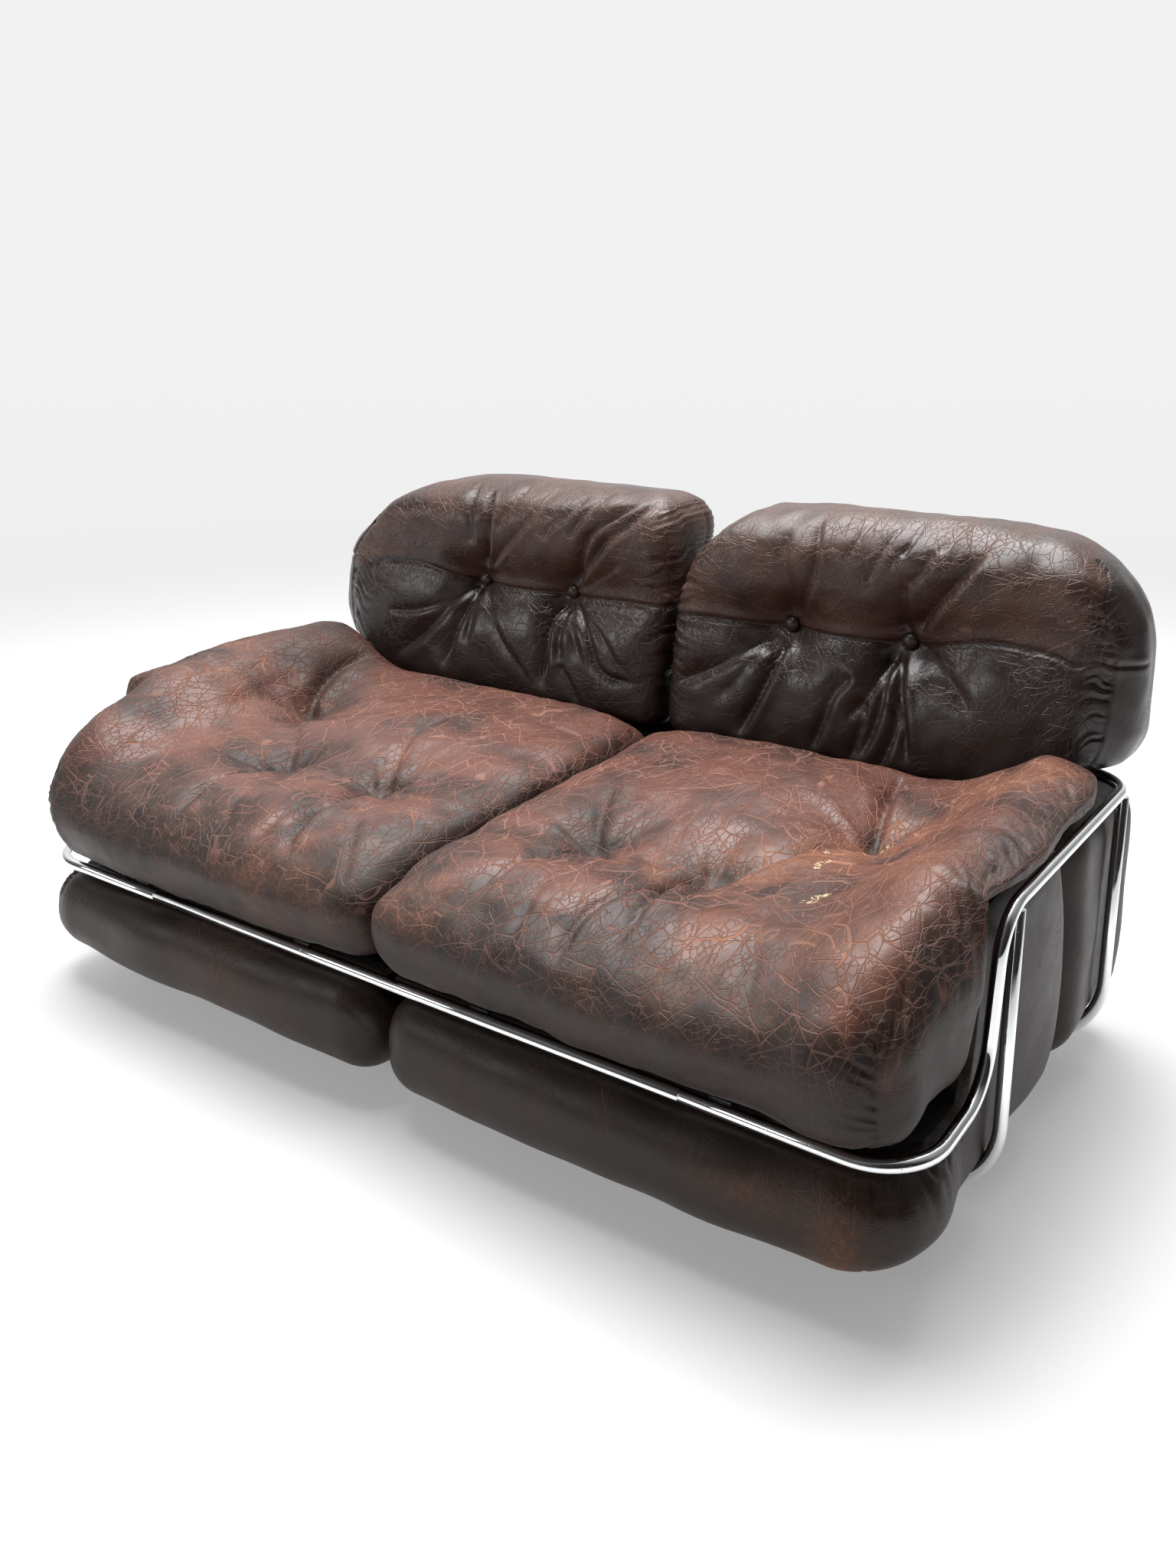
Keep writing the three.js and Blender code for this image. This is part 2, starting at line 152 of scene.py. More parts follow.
def near_line(flat, line):
    """For each flat point: its signed distance from the line, and how far along the line it is, 0 to 1."""
    best = np.full(len(flat), 1e9)
    side = np.zeros(len(flat))
    along = np.zeros(len(flat))
    lengths = np.linalg.norm(np.diff(line, axis=0), axis=1)
    run = np.concatenate([[0], np.cumsum(lengths)])
    for i in range(len(line) - 1):
        a, d = line[i], line[i + 1] - line[i]
        t = np.clip(((flat - a) @ d) / max(d @ d, 1e-12), 0, 1)
        away = flat - (a + t[:, None] * d)
        distance = np.hypot(away[:, 0], away[:, 1])
        closer = distance < best
        best = np.where(closer, distance, best)
        cross = d[0] * (flat[:, 1] - a[1]) - d[1] * (flat[:, 0] - a[0])
        side = np.where(closer, np.sign(cross), side)
        along = np.where(closer, (run[i] + t * lengths[i]) / run[-1], along)
    return best * side, along


class Ripple:
    """Smooth random waves in one to three dimensions, the same on every run."""

    def __init__(self, seed, size, octaves=3, count=24):
        made = np.random.default_rng(seed)
        self.waves = []
        for octave in range(octaves):
            directions = made.normal(size=(count, 3))
            directions /= np.linalg.norm(directions, axis=1, keepdims=True)
            pitch = 2 * math.pi / size * 2**octave * made.uniform(0.6, 1.4, count)[:, None]
            self.waves.append((directions * pitch, made.uniform(0, 2 * math.pi, count), 0.55**octave))

    def __call__(self, points):
        points = np.asarray(points, float)
        if points.ndim == 1:
            points = points[:, None]
        out = np.zeros(len(points))
        for directions, phases, weight in self.waves:
            angles = points @ directions[:, : points.shape[1]].T + phases
            out += weight * np.sin(angles).sum(axis=1) / math.sqrt(len(phases) / 2)
        return out


# ---------------------------------------------------------------- places, in millimetres
# Across the sofa from its middle, back from the front rail, and up from the floor.
def span(node):
    low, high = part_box(node)
    return np.array(low) / MM, np.array(high) / MM


rail_low, rail_high = span("rail_right")
front_low, front_high = span("rail_front")
TUBE_R = (front_high[2] - front_low[2]) / 2
FRONT = (front_low[1] + front_high[1]) / 2
FRONT_RAIL_Z = front_low[2] + TUBE_R
RAIL_X = rail_high[0] - TUBE_R
ARM_Z = rail_high[2] - TUBE_R
REAR_Y = rail_high[1] - TUBE_R - FRONT
SEAM_X = rail_low[0]


def hoop_line(node):
    """A hoop's depth, the height of its foot's middle and the height of its ends."""
    low, high = span(node)
    return (low[1] + high[1]) / 2 - FRONT, low[2] + TUBE_R, high[2]


def local(node):
    """A node's box in millimetres, its depths counted from the front rail."""
    low, high = span(node)
    low[1] -= FRONT
    high[1] -= FRONT
    return low, high


def to_world(points, hand="right"):
    out = np.array(points, float)
    out[:, 1] += FRONT
    out[:, 0] *= HANDS[hand]
    return out * MM


# ---------------------------------------------------------------- making pieces
def add_piece(name, points, faces, finish, hand="right", notes=None):
    """A smooth piece from local millimetre points. notes are numbers kept at each point for its finish."""
    if HANDS[hand] < 0:
        faces = faces[:, ::-1]
    mesh = bpy.data.meshes.new(name)
    mesh.vertices.add(len(points))
    mesh.vertices.foreach_set("co", to_world(points, hand).astype(np.float32).ravel())
    sides = faces.shape[1]
    mesh.loops.add(faces.size)
    mesh.loops.foreach_set("vertex_index", faces.astype(np.int32).ravel())
    mesh.polygons.add(len(faces))
    mesh.polygons.foreach_set("loop_start", np.arange(0, faces.size, sides, dtype=np.int32))
    mesh.polygons.foreach_set("use_smooth", np.ones(len(faces), bool))
    for key, values in (notes or {}).items():
        kept = mesh.attributes.new(key, "FLOAT", "POINT")
        kept.data.foreach_set("value", np.asarray(values, np.float32))
    mesh.update(calc_edges=True)
    mesh.validate()
    piece = bpy.data.objects.new(name, mesh)
    bpy.context.scene.collection.objects.link(piece)
    mesh.materials.append(finish)
    return piece


# A fold's walls and lip, in widths of the fold, and how much it is pressed in and raised.
STEEP_WALL = 0.85
GENTLE_WALL = 2.1
LIP_PLACE = 2.0
LIP_WIDTH = 1.1
FOLD_PRESS = 1.35
LIP_PRESS = 0.3
FOLD_ENDS = (0.1, 0.3)


def crease(flat, hand, points, depth, width, lip):
    """How far a fold line lowers the leather.

    It is a valley with a steep wall and a raised lip on one side, and a gentle slope on the other.
    """
    line = line_of(points)
    reach = 6 * width
    low, high = line.min(axis=0) - reach, line.max(axis=0) + reach
    close = np.all((flat > low) & (flat < high), axis=1)
    distance, along = near_line(flat[close], line)
    if (line[-1, 1] - line[0, 1]) * HANDS[hand] > 0:
        distance = -distance
    fade = between(along, 0, FOLD_ENDS[0]) * (1 - between(along, 1 - FOLD_ENDS[1], 1))
    slope = np.where(distance > 0, STEEP_WALL * width, GENTLE_WALL * width)
    valley = np.exp(-((np.abs(distance) / slope) ** 1.25))
    raised = LIP_PRESS * lip * hill(distance - LIP_PLACE * width, LIP_WIDTH * width)
    sunk = np.zeros(len(flat))
    sunk[close] = FOLD_PRESS * depth * fade * (valley - raised)
    return sunk


# ---------------------------------------------------------------- seat cushions
SEAT_H = 200
SEAT_R = 88
seat_low, seat_high = local("seat_cushion_right")
# The top's front and rear edges, and the heights that its slope runs between.
SEAT_FRONT, SEAT_REAR = -46, 726
SEAT_FRONT_Z, SEAT_REAR_Z = 400, 430
SEAT_UNDER_Z = 234
# Where the underside climbs over the arm rail: across, back and by how much.
ARM_ACROSS = (690, 745)
ARM_BACK = (156, 196)
ARM_CLIMB = 221
# Where the wing rises across the top, and by how much.
WING_ACROSS = (560, 738)
WING_RISE = 74
# Each wing: where it starts to rise from the front, how far it falls to the rear, and its dome.
WINGS = {"right": (-210, 0.3, 0), "left": (-230, 0.6, 20)}


def seat_block(step):
    xs = grid_lines(2, seat_high[0], step)
    ys = grid_lines(seat_low[1], seat_high[1], step)
    zs = grid_lines(0, SEAT_H, step)
    return Block(xs, ys, zs, SEAT_R, low_edge=4.0, high_edge=2.1, inner_edge=3.2, inner_plan=3.6)


# Where each cushion's top is drawn down: across, back, and how deep.
SEAT_TUFTS = {
    "right": [(203, 232, 34), (394, 227, 34), (531, 433, 32)],
    "left": [(211, 226, 36), (413, 219, 34), (577, 417, 36)],
}


def seat_top(x, y, hand):
    """Height of the cushion's top before its folds."""
    height = mixed(SEAT_FRONT_Z, SEAT_REAR_Z, np.clip(y / 650, 0, 1))
    height -= 26 * (1 - between(y, SEAT_FRONT, 95))
    height -= 10 * (1 - between(x, 0, 110))
    height -= 12 * between(y, 640, SEAT_REAR)
    start, fall, dome = WINGS[hand]
    wing = between(x, *WING_ACROSS) * between(y, start, 230) * (1 - fall * between(y, 620, 735))
    height += WING_RISE * wing + dome * between(x, 600, 738) * hill(y - 380, 150)
    height += 12 * hill(np.hypot(x - 340, (y - 430) * 0.8), 105)
    for tx, ty, deep in SEAT_TUFTS[hand]:
        away = np.hypot(x - tx, y - ty)
        height -= deep * np.exp(-((away / 40) ** 1.05)) + 17 * hill(away, 80)
    return height + 9 * between(x, 20, 200) * between(y, 0, 120)


def seat_shape(at, hand):
    """The cushion's plain form: crowned, with drawn-in corners and a wing over the arm."""
    x, y, z = at.T
    climb = ARM_CLIMB * between(x, *ARM_ACROSS) * between(y, *ARM_BACK)
    bottom = SEAT_UNDER_Z + 3 * between(y, 0, 80) + climb
    level = mixed(bottom, seat_top(x, y, hand), z / SEAT_H)
    forward = 12 * np.cos(np.clip((x - 405) / 400, -1, 1) * math.pi / 2) * (1 - between(y, SEAT_FRONT, 200))
    if hand == "right":
        front_corner = mixed(26, 36, between(level, 245, 350)) * (1 - between(y, -60, 200)) ** 1.2
        held = mixed(22, 6, between(level, 245, 400)) * between(y, -20, 100) * (1 - between(y, 196, 236))
        front_corner = front_corner + held + 16 * hill(y - 215, 26)
    else:
        front_corner = mixed(60, 46, between(level, 245, 380)) * (1 - between(y, -60, 440)) ** 1.3
    rear_corner = 12 * between(y, 150, 300) + 36 * between(y, 540, SEAT_REAR) ** 1.6
    corner = (front_corner + rear_corner) * between(x, 560, 804)
    tucked = 27 - {"right": 19, "left": 0}[hand] * between(x, 540, 760)
    tuck = tucked * (1 - between(level, 232, 322)) * (1 - between(y, SEAT_FRONT, 90))
    return np.stack([x - corner, y - forward + tuck, level], axis=1)


def seat_flat(square):
    """Places on the seat's cover laid flat: across and back on top, then down its front and outer side."""
    x, y, z = square.T
    drop = SEAT_H - z
    over_front = np.where(y <= seat_low[1] + 1e-6, drop, 0)
    over_side = np.where(x >= seat_high[0] - 1e-6, drop, 0)
    return np.stack([x + over_side, y - over_front], axis=1)


# ---------------------------------------------------------------- back cushions
_, back_high = local("back_cushion_right")
BACK_BASE = 392
BACK_H = back_high[2] - BACK_BASE
BACK_HALF = 94
BACK_R = 84
BUTTON_Z = 613
BUTTON_XS = (228, 438)
LEAN = 0.095
BACK_MIDDLE = 395
BACK_REACH = 390
BACK_DEPTH = 815
# The underside is stepped up to here behind and at the outer end, clear of the rails.
BACK_STEP_Z = 455


def back_block(step, fine):
    xs = grid_lines(6, back_high[0], step)
    ds = grid_lines(-BACK_HALF, BACK_HALF, step)
    zs = grid_lines(0, BACK_H, fine)
    return Block(xs, ds, zs, BACK_R, low_edge=7.0, high_edge=2.2, inner_edge=2.2, inner_plan=4.5)


def seam_height(x):
    return BUTTON_Z + 30 * between(x, 440, 600) - 34 * between(x, 660, 775) + 6 * (1 - between(x, 60, 215))


# How each back cushion is drawn in at the top of its inner and outer ends, and how far its outer end swells.
BACK_ENDS = {"right": (0.24, 0.19, 12, 150), "left": (0.0, 0.42, 56, 115)}


def back_shape(at, hand):
    """The cushion's plain form: crowned and leaning, drawn in at the top of its ends and along its seam."""
    x, d, z = at.T
    bottom = mixed(BACK_BASE, BACK_STEP_Z, np.maximum(between(d, -47, -25), between(x, 700, 740)))
    ends = np.abs((x - BACK_MIDDLE) / BACK_REACH) ** 4
    crown = np.where((x < BACK_MIDDLE) & (hand == "left"), 5, 5 - 18 * ends)
    level = mixed(bottom, back_high[2] - 12 + crown - 8 * between(x, 500, 784), z / BACK_H)
    front = between(-d, -20, 70)
    drawn_inner, drawn_outer, swollen, widest = BACK_ENDS[hand]
    across = x - BACK_MIDDLE
    drawn = np.where(across < 0, drawn_inner, drawn_outer)
    shoulder = drawn * np.clip((z - BACK_H + 205) / 205, 0, 1) ** 1.9
    swell = np.where(across < 0, 3, swollen) * np.clip(1 - ((z - widest) / 225) ** 2, 0, 1)
    x = BACK_MIDDLE + across * (1 - shoulder) + swell * np.sign(across) * np.abs(across / BACK_REACH) ** 6
    x = x - 22 * np.clip(1 - z / 80, 0, 1) ** 1.5 * between(across, 250, 390)
    crown_x = 1 - np.abs((x - BACK_MIDDLE) / BACK_MIDDLE) ** 3
    crown_z = 1 - np.abs((level - 605) / 215) ** 3
    bulge = 20 * np.clip(crown_x, 0, 1) * np.clip(crown_z, 0, 1)
    pulled = 0.35 + 0.65 * between(x, 0, 120) * (1 - between(x, 600, 760))
    dip = 15 * hill(level - seam_height(x), 34) * pulled
    for bx in BUTTON_XS:
        away = np.hypot(x - bx, level - BUTTON_Z)
        dip = dip + 36 * np.exp(-((away / 40) ** 1.15)) + 12 * hill(away, 100)
    y = BACK_DEPTH + d + LEAN * (level - 440) + front * (dip - bulge)
    return np.stack([x, y, level], axis=1)


def back_flat(square):
    """Places on the back's cover laid flat: across and up its front, then over the top and round the side."""
    x, d, z = square.T
    behind = d + BACK_HALF
    over_top = np.where(z >= BACK_H - 1e-6, behind, 0)
    over_side = np.where(x >= back_high[0] - 1e-6, behind, 0)
    return np.stack([x + over_side, BACK_BASE + z + over_top], axis=1)


# ---------------------------------------------------------------- pods
pod_low, pod_high = local("base_pod_right")
HOOP_FRONT_Y = hoop_line("hoop_front")[0]
HOOP_REAR_Y = hoop_line("hoop_rear")[0]
POD_SIDE = 775
POD_TOP = 205
POD_H = POD_TOP - pod_low[2]
PANEL_TOP = 442
POD_R = 64


def base_block(step):
    xs = grid_lines(5, POD_SIDE, step)
    ys = grid_lines(pod_low[1], pod_high[1], step)
    zs = grid_lines(0, POD_H, step * 0.7)
    return Block(xs, ys, zs, POD_R, low_edge=2.0, high_edge=2.6)


def base_shape(at):
    """The block under the front rail, with the panel that stands up from its outer side."""
    x, y, z = at.T
    panel = between(x, 690, 724) * between(y, 186, 226)
    drawn = np.clip((z - POD_R + 20) / (POD_H - 2 * POD_R + 40), 0, 1)
    level = pod_low[2] + z + (PANEL_TOP - POD_TOP) * panel * drawn
    level = level + 12 * between(x, 540, 740) * (1 - between(y, -20, 170)) * np.clip(1 - z / POD_H, 0, 1)
    outer = between(x, POD_SIDE - 110, POD_SIDE)
    rise = np.sin(math.pi * np.clip((level - pod_low[2]) / 154, 0, 1))
    ahead = 29 * rise * np.sin(math.pi * np.clip((y + 150) / 338, 0, 1))
    tall = np.sin(math.pi * np.clip((level - pod_low[2]) / 372, 0, 1))
    behind = np.clip((y - HOOP_FRONT_Y - 14) / (pod_high[1] + 10 - HOOP_FRONT_Y), 0, 1)
    beside = 20 * tall * np.sin(math.pi * behind)
    crown = 14 * np.cos(np.clip((x - 390) / 390, -1, 1) * math.pi / 2) * (1 - between(y, -30, 90))
    corner = 37 * (1 - between(y, -40, 120)) ** 1.5 * between(x, 600, POD_SIDE)
    return np.stack([x + outer * (ahead + beside) - corner, y - crown * rise, level], axis=1)


rear_low, rear_high = local("rear_pod_right")
REAR_TOP = rear_high[2]


def rear_block(step):
    xs = grid_lines(5, POD_SIDE, step)
    ys = grid_lines(rear_low[1] + 2, rear_high[1], step)
    zs = grid_lines(0, REAR_TOP - rear_low[2], step)
    return Block(xs, ys, zs, 60, low_edge=2.0, high_edge=2.4)


def rear_shape(at):
    """The block under the back cushion, cut away in front above its shelf."""
    x, y, z = at.T
    side = between(x, 690, 722)
    shelf = mixed(222, 386, between(y, 732, 746))
    roof = mixed(shelf, REAR_TOP, np.maximum(side, between(y, 780, 802)))
    height = REAR_TOP - rear_low[2]
    level = rear_low[2] + z - (REAR_TOP - roof) * np.clip((z - 60) / (height - 120), 0, 1)
    outer = between(x, POD_SIDE - 100, POD_SIDE)
    tall = np.sin(math.pi * np.clip((level - rear_low[2]) / height, 0, 1)) ** 0.6
    behind = 16 * np.sin(math.pi * np.clip((y - HOOP_REAR_Y - 12) / 190, 0, 1))
    before = 12 * np.sin(math.pi * np.clip((y - rear_low[1] + 20) / (HOOP_REAR_Y - rear_low[1] + 6), 0, 1))
    back = 14 * np.cos(np.clip((x - 390) / 390, -1, 1) * math.pi / 2) * between(y, 800, 880)
    return np.stack([x + outer * tall * (behind + before), y + back * tall, level], axis=1)


# ---------------------------------------------------------------- finishes
class Amount:
    """A number in a finish. Sums on it add Math nodes."""

    def __init__(self, finish, socket):
        self.finish = finish
        self.socket = socket

    def sum(self, operation, *values):
        made = self.finish.node("Math", {"operation": operation}, dict(enumerate(values)))
        return Amount(self.finish, made.outputs[0])

    def __add__(self, other):
        return self.sum("ADD", self, other)

    def __radd__(self, other):
        return self.sum("ADD", other, self)

    def __sub__(self, other):
        return self.sum("SUBTRACT", self, other)

    def __rsub__(self, other):
        return self.sum("SUBTRACT", other, self)

    def __mul__(self, other):
        return self.sum("MULTIPLY", self, other)

    def __rmul__(self, other):
        return self.sum("MULTIPLY", other, self)

    def kept(self):
        """This amount, never under 0 or over 1."""
        made = self.finish.node("Clamp", {}, {"Value": self})
        return Amount(self.finish, made.outputs[0])

    def over(self, start, end):
        """0 at start, 1 at end, eased in between."""
        settings = {"interpolation_type": "SMOOTHSTEP"}
        made = self.finish.node("MapRange", settings, {"Value": self, "From Min": start, "From Max": end})
        return Amount(self.finish, made.outputs[0])

    def larger(self, other):
        return self.sum("MAXIMUM", self, other)


class Nodes:
    """A tree of shader nodes under construction."""

    def __init__(self, owner):
        owner.use_nodes = True
        self.tree = owner.node_tree
        self.tree.nodes.clear()

    def node(self, kind, settings=None, inputs=None):
        made = self.tree.nodes.new("ShaderNode" + kind)
        for key, value in (settings or {}).items():
            setattr(made, key, value)
        for key, value in (inputs or {}).items():
            self.feed(made.inputs[key], value)
        return made

    def feed(self, socket, value):
        if isinstance(value, Amount):
            value = value.socket
        if isinstance(value, bpy.types.NodeSocket):
            self.tree.links.new(value, socket)
        elif socket.type == "RGBA" and len(value) == 3:
            socket.default_value = (*value, 1)
        else:
            socket.default_value = value

    def colours(self, share, low, high):
        """One colour mixed into another."""
        inputs = {0: share, 6: low, 7: high}
        return self.node("Mix", {"data_type": "RGBA"}, inputs).outputs[2]


class Finish(Nodes):
    """A material under construction: its nodes, and the values its shader ends with."""

    def __init__(self, name):
        self.material = bpy.data.materials.new(name)
        super().__init__(self.material)
        self.shader = self.node("BsdfPrincipled")
        self.feed(self.node("OutputMaterial").inputs["Surface"], self.shader.outputs[0])
        self.place = self.node("TexCoord").outputs["Object"]

    def ends_with(self, **values):
        for key, value in values.items():
            self.feed(self.shader.inputs[key.replace("_", " ")], value)
        return self.material

    def note(self, key):
        """A number kept at the points of the piece."""
        return Amount(self, self.node("Attribute", {"attribute_name": key}).outputs["Fac"])

    def noise(self, size, detail=3.0, roughness=0.55, place=None, distortion=0.0):
        inputs = {"Vector": place or self.place, "Scale": 1 / size, "Detail": detail}
        inputs.update({"Roughness": roughness, "Distortion": distortion})
        return Amount(self, self.node("TexNoise", {}, inputs).outputs[0])

    def moved(self, place, shift=(0, 0, 0), turn=(0, 0, 0), stretch=(1, 1, 1)):
        inputs = {"Vector": place, "Location": shift, "Rotation": turn, "Scale": stretch}
        return self.node("Mapping", {}, inputs).outputs[0]

    def bent(self, size, amount):
        """Places pushed about by a soft noise."""
        place = self.place
        noise = self.node("TexNoise", {}, {"Vector": place, "Scale": 1 / size, "Detail": 2.0}).outputs[1]
        middle = (0.5, 0.5, 0.5)
        centred = self.node("VectorMath", {"operation": "SUBTRACT"}, {0: noise, 1: middle}).outputs[0]
        push = self.node("VectorMath", {"operation": "SCALE"}, {0: centred, "Scale": amount}).outputs[0]
        return self.node("VectorMath", {"operation": "ADD"}, {0: place, 1: push}).outputs[0]

    def cells(self, size, place, feature="DISTANCE_TO_EDGE"):
        inputs = {"Vector": place, "Scale": 1 / size}
        return Amount(self, self.node("TexVoronoi", {"feature": feature}, inputs).outputs["Distance"])

    def bump(self, height, depth, strength=1.0, after=None):
        inputs = {"Height": height, "Distance": depth, "Strength": strength}
        if after is not None:
            inputs["Normal"] = after
        return self.node("Bump", {}, inputs).outputs[0]


# Long lines, lines across them, the net between and the finest: cell size, width, shift, turn, stretch, bend.
CRACK_SETS = [
    (0.060, 0.014, (3, 1, 2), (0.4, 0.2, 0.5), (1.0, 0.40, 1.0), 0.010),
    (0.046, 0.019, (7, 4, 9), (0.1, 0.5, 2.1), (1.0, 0.38, 0.9), 0.010),
    (0.022, 0.033, (1, 8, 5), (0.6, 0.3, 1.2), (1.0, 0.5, 1.0), 0.008),
    (0.010, 0.060, (5, 2, 7), (0.2, 0.9, 0.3), (1.0, 0.7, 1.0), 0.004),
]
PALE_BACKING = (0.50, 0.36, 0.22)


def crack_lines(finish, size, width, shift, turn, stretch, bend):
    """Fine lines that cross the leather: the walls between stretched cells."""
    place = finish.moved(finish.bent(0.09, bend), shift, turn, stretch)
    return 1 - finish.cells(size, place).over(0.0, width)


def leather(name, dye, rubbed, tan, shine, crack_amount=1.0, lumps=0.6, sheen=0.42, dry=0.0, torn=False):
    """Cracked leather, dyed dark and rubbed paler.

    It reads the piece's notes: worn, tanned, cracked, the dirt and painted shade note, and torn where it has
    tears.
    """
    finish = Finish(name)
    worn, tanned = finish.note("worn"), finish.note("tanned")
    cracked, dirt_and_shade = finish.note("cracked"), finish.note("dirt_and_shade")
    cloudy = finish.noise(0.11, 4.0)
    patchy = finish.noise(0.028, 4.0, 0.65)

    long_lines, cross_lines, net_lines, fine_lines = [crack_lines(finish, *values) for values in CRACK_SETS]
    broken = finish.noise(0.05, 3.0, place=finish.moved(finish.place, (9, 3, 4))).over(0.30, 0.50)
    broken_fine = finish.noise(0.035, 3.0, place=finish.moved(finish.place, (2, 6, 1))).over(0.38, 0.56)
    strong = (long_lines.larger(cross_lines * 0.9) * (0.35 + 0.65 * broken)).kept()
    thin = (net_lines * broken).larger(fine_lines * broken_fine * 0.7)
    lines = (strong.larger(thin * 0.95) * cracked * crack_amount).kept()

    rub = (worn * (0.85 + 0.26 * cloudy + 0.16 * (patchy - 0.5))).kept()
    flecks = finish.noise(0.009, 4.0, 0.7).over(0.50, 0.72)
    bare = (tanned * (0.04 + 0.50 * patchy * cloudy + 0.42 * flecks)).kept()
    base = finish.colours(rub, dye, rubbed)
    base = finish.colours(bare, base, tan)
    paler = tuple(1.9 * part + 0.02 for part in rubbed)
    crack_tone = finish.colours((0.06 + worn * 0.22 + tanned * 0.7).kept(), paler, tan)
    base = finish.colours(lines * 0.78, base, crack_tone)
    # Dirt and painted shade: this note darkens the colour towards a near black.
    base = finish.colours((dirt_and_shade * 0.85).kept(), base, tuple(0.22 * part for part in dye))

    scraps = 0
    if torn:
        scraps = (finish.note("torn") * finish.noise(0.004, 3.0, 0.6).over(0.45, 0.54)).over(0.3, 0.55)
        base = finish.colours(scraps, base, PALE_BACKING)

    grain = finish.cells(0.0016, finish.bent(0.004, 0.0006))
    pores = finish.noise(0.0035, 3.0)
    lift = finish.bump(grain, 0.00018, 0.5)
    lift = finish.bump(pores, 0.00035, 0.45, lift)
    lift = finish.bump(1 - lines, 0.0012, 0.85, lift)
    lift = finish.bump(finish.noise(0.022, 3.0), 0.0016, lumps, lift)
    rough = shine + 0.14 * (patchy - 0.5) + 0.08 * rub + 0.22 * bare + 0.34 * lines + 0.20 * dirt_and_shade
    rough = rough + dry * (1 - worn)
    if torn:
        lift = finish.bump(scraps, 0.0012, 0.9, lift)
        rough = rough + 0.3 * scraps
    return finish.ends_with(Base_Color=base, Roughness=rough.kept(), Normal=lift, Specular_IOR_Level=sheen)


SEAT_LEATHER = leather(
    "seat_leather",
    dye=(0.017, 0.0095, 0.0075),
    rubbed=(0.112, 0.046, 0.033),
    tan=(0.34, 0.142, 0.075),
    shine=0.27,
    sheen=0.36,
    dry=0.24,
    torn=True,
)
BACK_LEATHER = leather(
    "back_leather",
    dye=(0.017, 0.010, 0.008),
    rubbed=(0.050, 0.023, 0.017),
    tan=(0.22, 0.095, 0.055),
    shine=0.29,
    crack_amount=0.9,
    lumps=0.22,
    sheen=0.5,
)
POD_LEATHER = leather(
    "pod_leather",
    dye=(0.020, 0.013, 0.010),
    rubbed=(0.034, 0.020, 0.015),
    tan=(0.30, 0.110, 0.050),
    shine=0.40,
    crack_amount=0.8,
    lumps=0.35,
    sheen=0.26,
)


def chrome():
    """Bright plated tube with scattered pits and a dull haze."""
    finish = Finish("tube_chrome")
    pits = 1 - finish.cells(0.006, finish.place, "F1").over(0.05, 0.16)
    marked = finish.noise(0.05, 4.0).over(0.56, 0.70)
    haze = finish.noise(0.09, 5.0, 0.65).over(0.42, 0.75)
    spots = (pits * marked).kept()
    base = finish.colours(spots, (0.83, 0.84, 0.85), (0.10, 0.08, 0.065))
    base = finish.colours(haze * 0.25, base, (0.55, 0.54, 0.52))
    lift = finish.bump(1 - spots, 0.0004, 0.6)
    lift = finish.bump(finish.noise(0.02, 2.0), 0.0003, 0.12, lift)
    rough = (0.055 + 0.16 * haze + 0.5 * spots).kept()
    metal = (1 - 0.6 * spots).kept()
    return finish.ends_with(Base_Color=base, Roughness=rough, Metallic=metal, Normal=lift)


def plain(name, colour, other, roughness, metallic=0.0, size=0.01, depth=0.0003):
    """A simple finish with two mixed tones and a fine surface."""
    finish = Finish(name)
    tone = finish.noise(size, 4.0)
    lift = finish.bump(finish.noise(size * 0.3, 3.0), depth, 0.5)
    rough = (roughness + 0.25 * (tone - 0.5)).kept()
    base = finish.colours(tone, colour, other)
    return finish.ends_with(Base_Color=base, Roughness=rough, Metallic=metallic, Normal=lift)


def dust_cloth():
    """Black plain-woven cloth."""
    finish = Finish("liner_cloth")
    warp = finish.node("TexWave", {"bands_direction": "X"}, {"Vector": finish.place, "Scale": 240.0})
    weft = finish.node("TexWave", {"bands_direction": "Y"}, {"Vector": finish.place, "Scale": 240.0})
    weave = Amount(finish, warp.outputs[1]) * Amount(finish, weft.outputs[1])
    fade = finish.noise(0.06, 4.0)
    base = finish.colours((0.3 * weave + 0.4 * fade).kept(), (0.006, 0.006, 0.006), (0.022, 0.020, 0.019))
    return finish.ends_with(Base_Color=base, Roughness=0.92, Normal=finish.bump(weave, 0.0003, 0.7))


def board_wood():
    """Plywood and beech, stained almost black."""
    finish = Finish("bearer_wood")
    along = finish.moved(finish.place, stretch=(1.5, 18.0, 30.0))
    grain = finish.noise(0.06, 5.0, 0.6, along, 0.6)
    base = finish.colours(grain.over(0.3, 0.7), (0.045, 0.032, 0.022), (0.022, 0.016, 0.012))
    return finish.ends_with(Base_Color=base, Roughness=0.68, Normal=finish.bump(grain, 0.0004, 0.4))


CHROME = chrome()
STEEL = plain("bare_steel", (0.42, 0.43, 0.44), (0.30, 0.31, 0.32), 0.38, 1.0)
PLASTIC = plain("glide_plastic", (0.018, 0.018, 0.019), (0.030, 0.030, 0.031), 0.5)
CLOTH = dust_cloth()
WOOD = board_wood()
BUTTON_LEATHER = leather(
    "button_leather",
    dye=(0.035, 0.022, 0.018),
    rubbed=(0.08, 0.04, 0.03),
    tan=(0.2, 0.1, 0.06),
    shine=0.3,
    crack_amount=0.3,
)


# ---------------------------------------------------------------- building the soft pieces
def sculpted(hand, block, shape, flat_of, lines, normal_gate, settle):
    """Points of a soft piece, and their flat places: its plain shape with every fold line pressed in."""
    points = shape(block.at, hand)
    flat = flat_of(block.square)
    normals = point_normals(points, block.faces)
    sunk = np.zeros(len(points))
    for line in lines:
        sunk = sunk + crease(flat, hand, *line)
    sunk = sunk * normal_gate(normals) + settle(points, normals, flat, block.square)
    return points - normals * sunk[:, None], flat


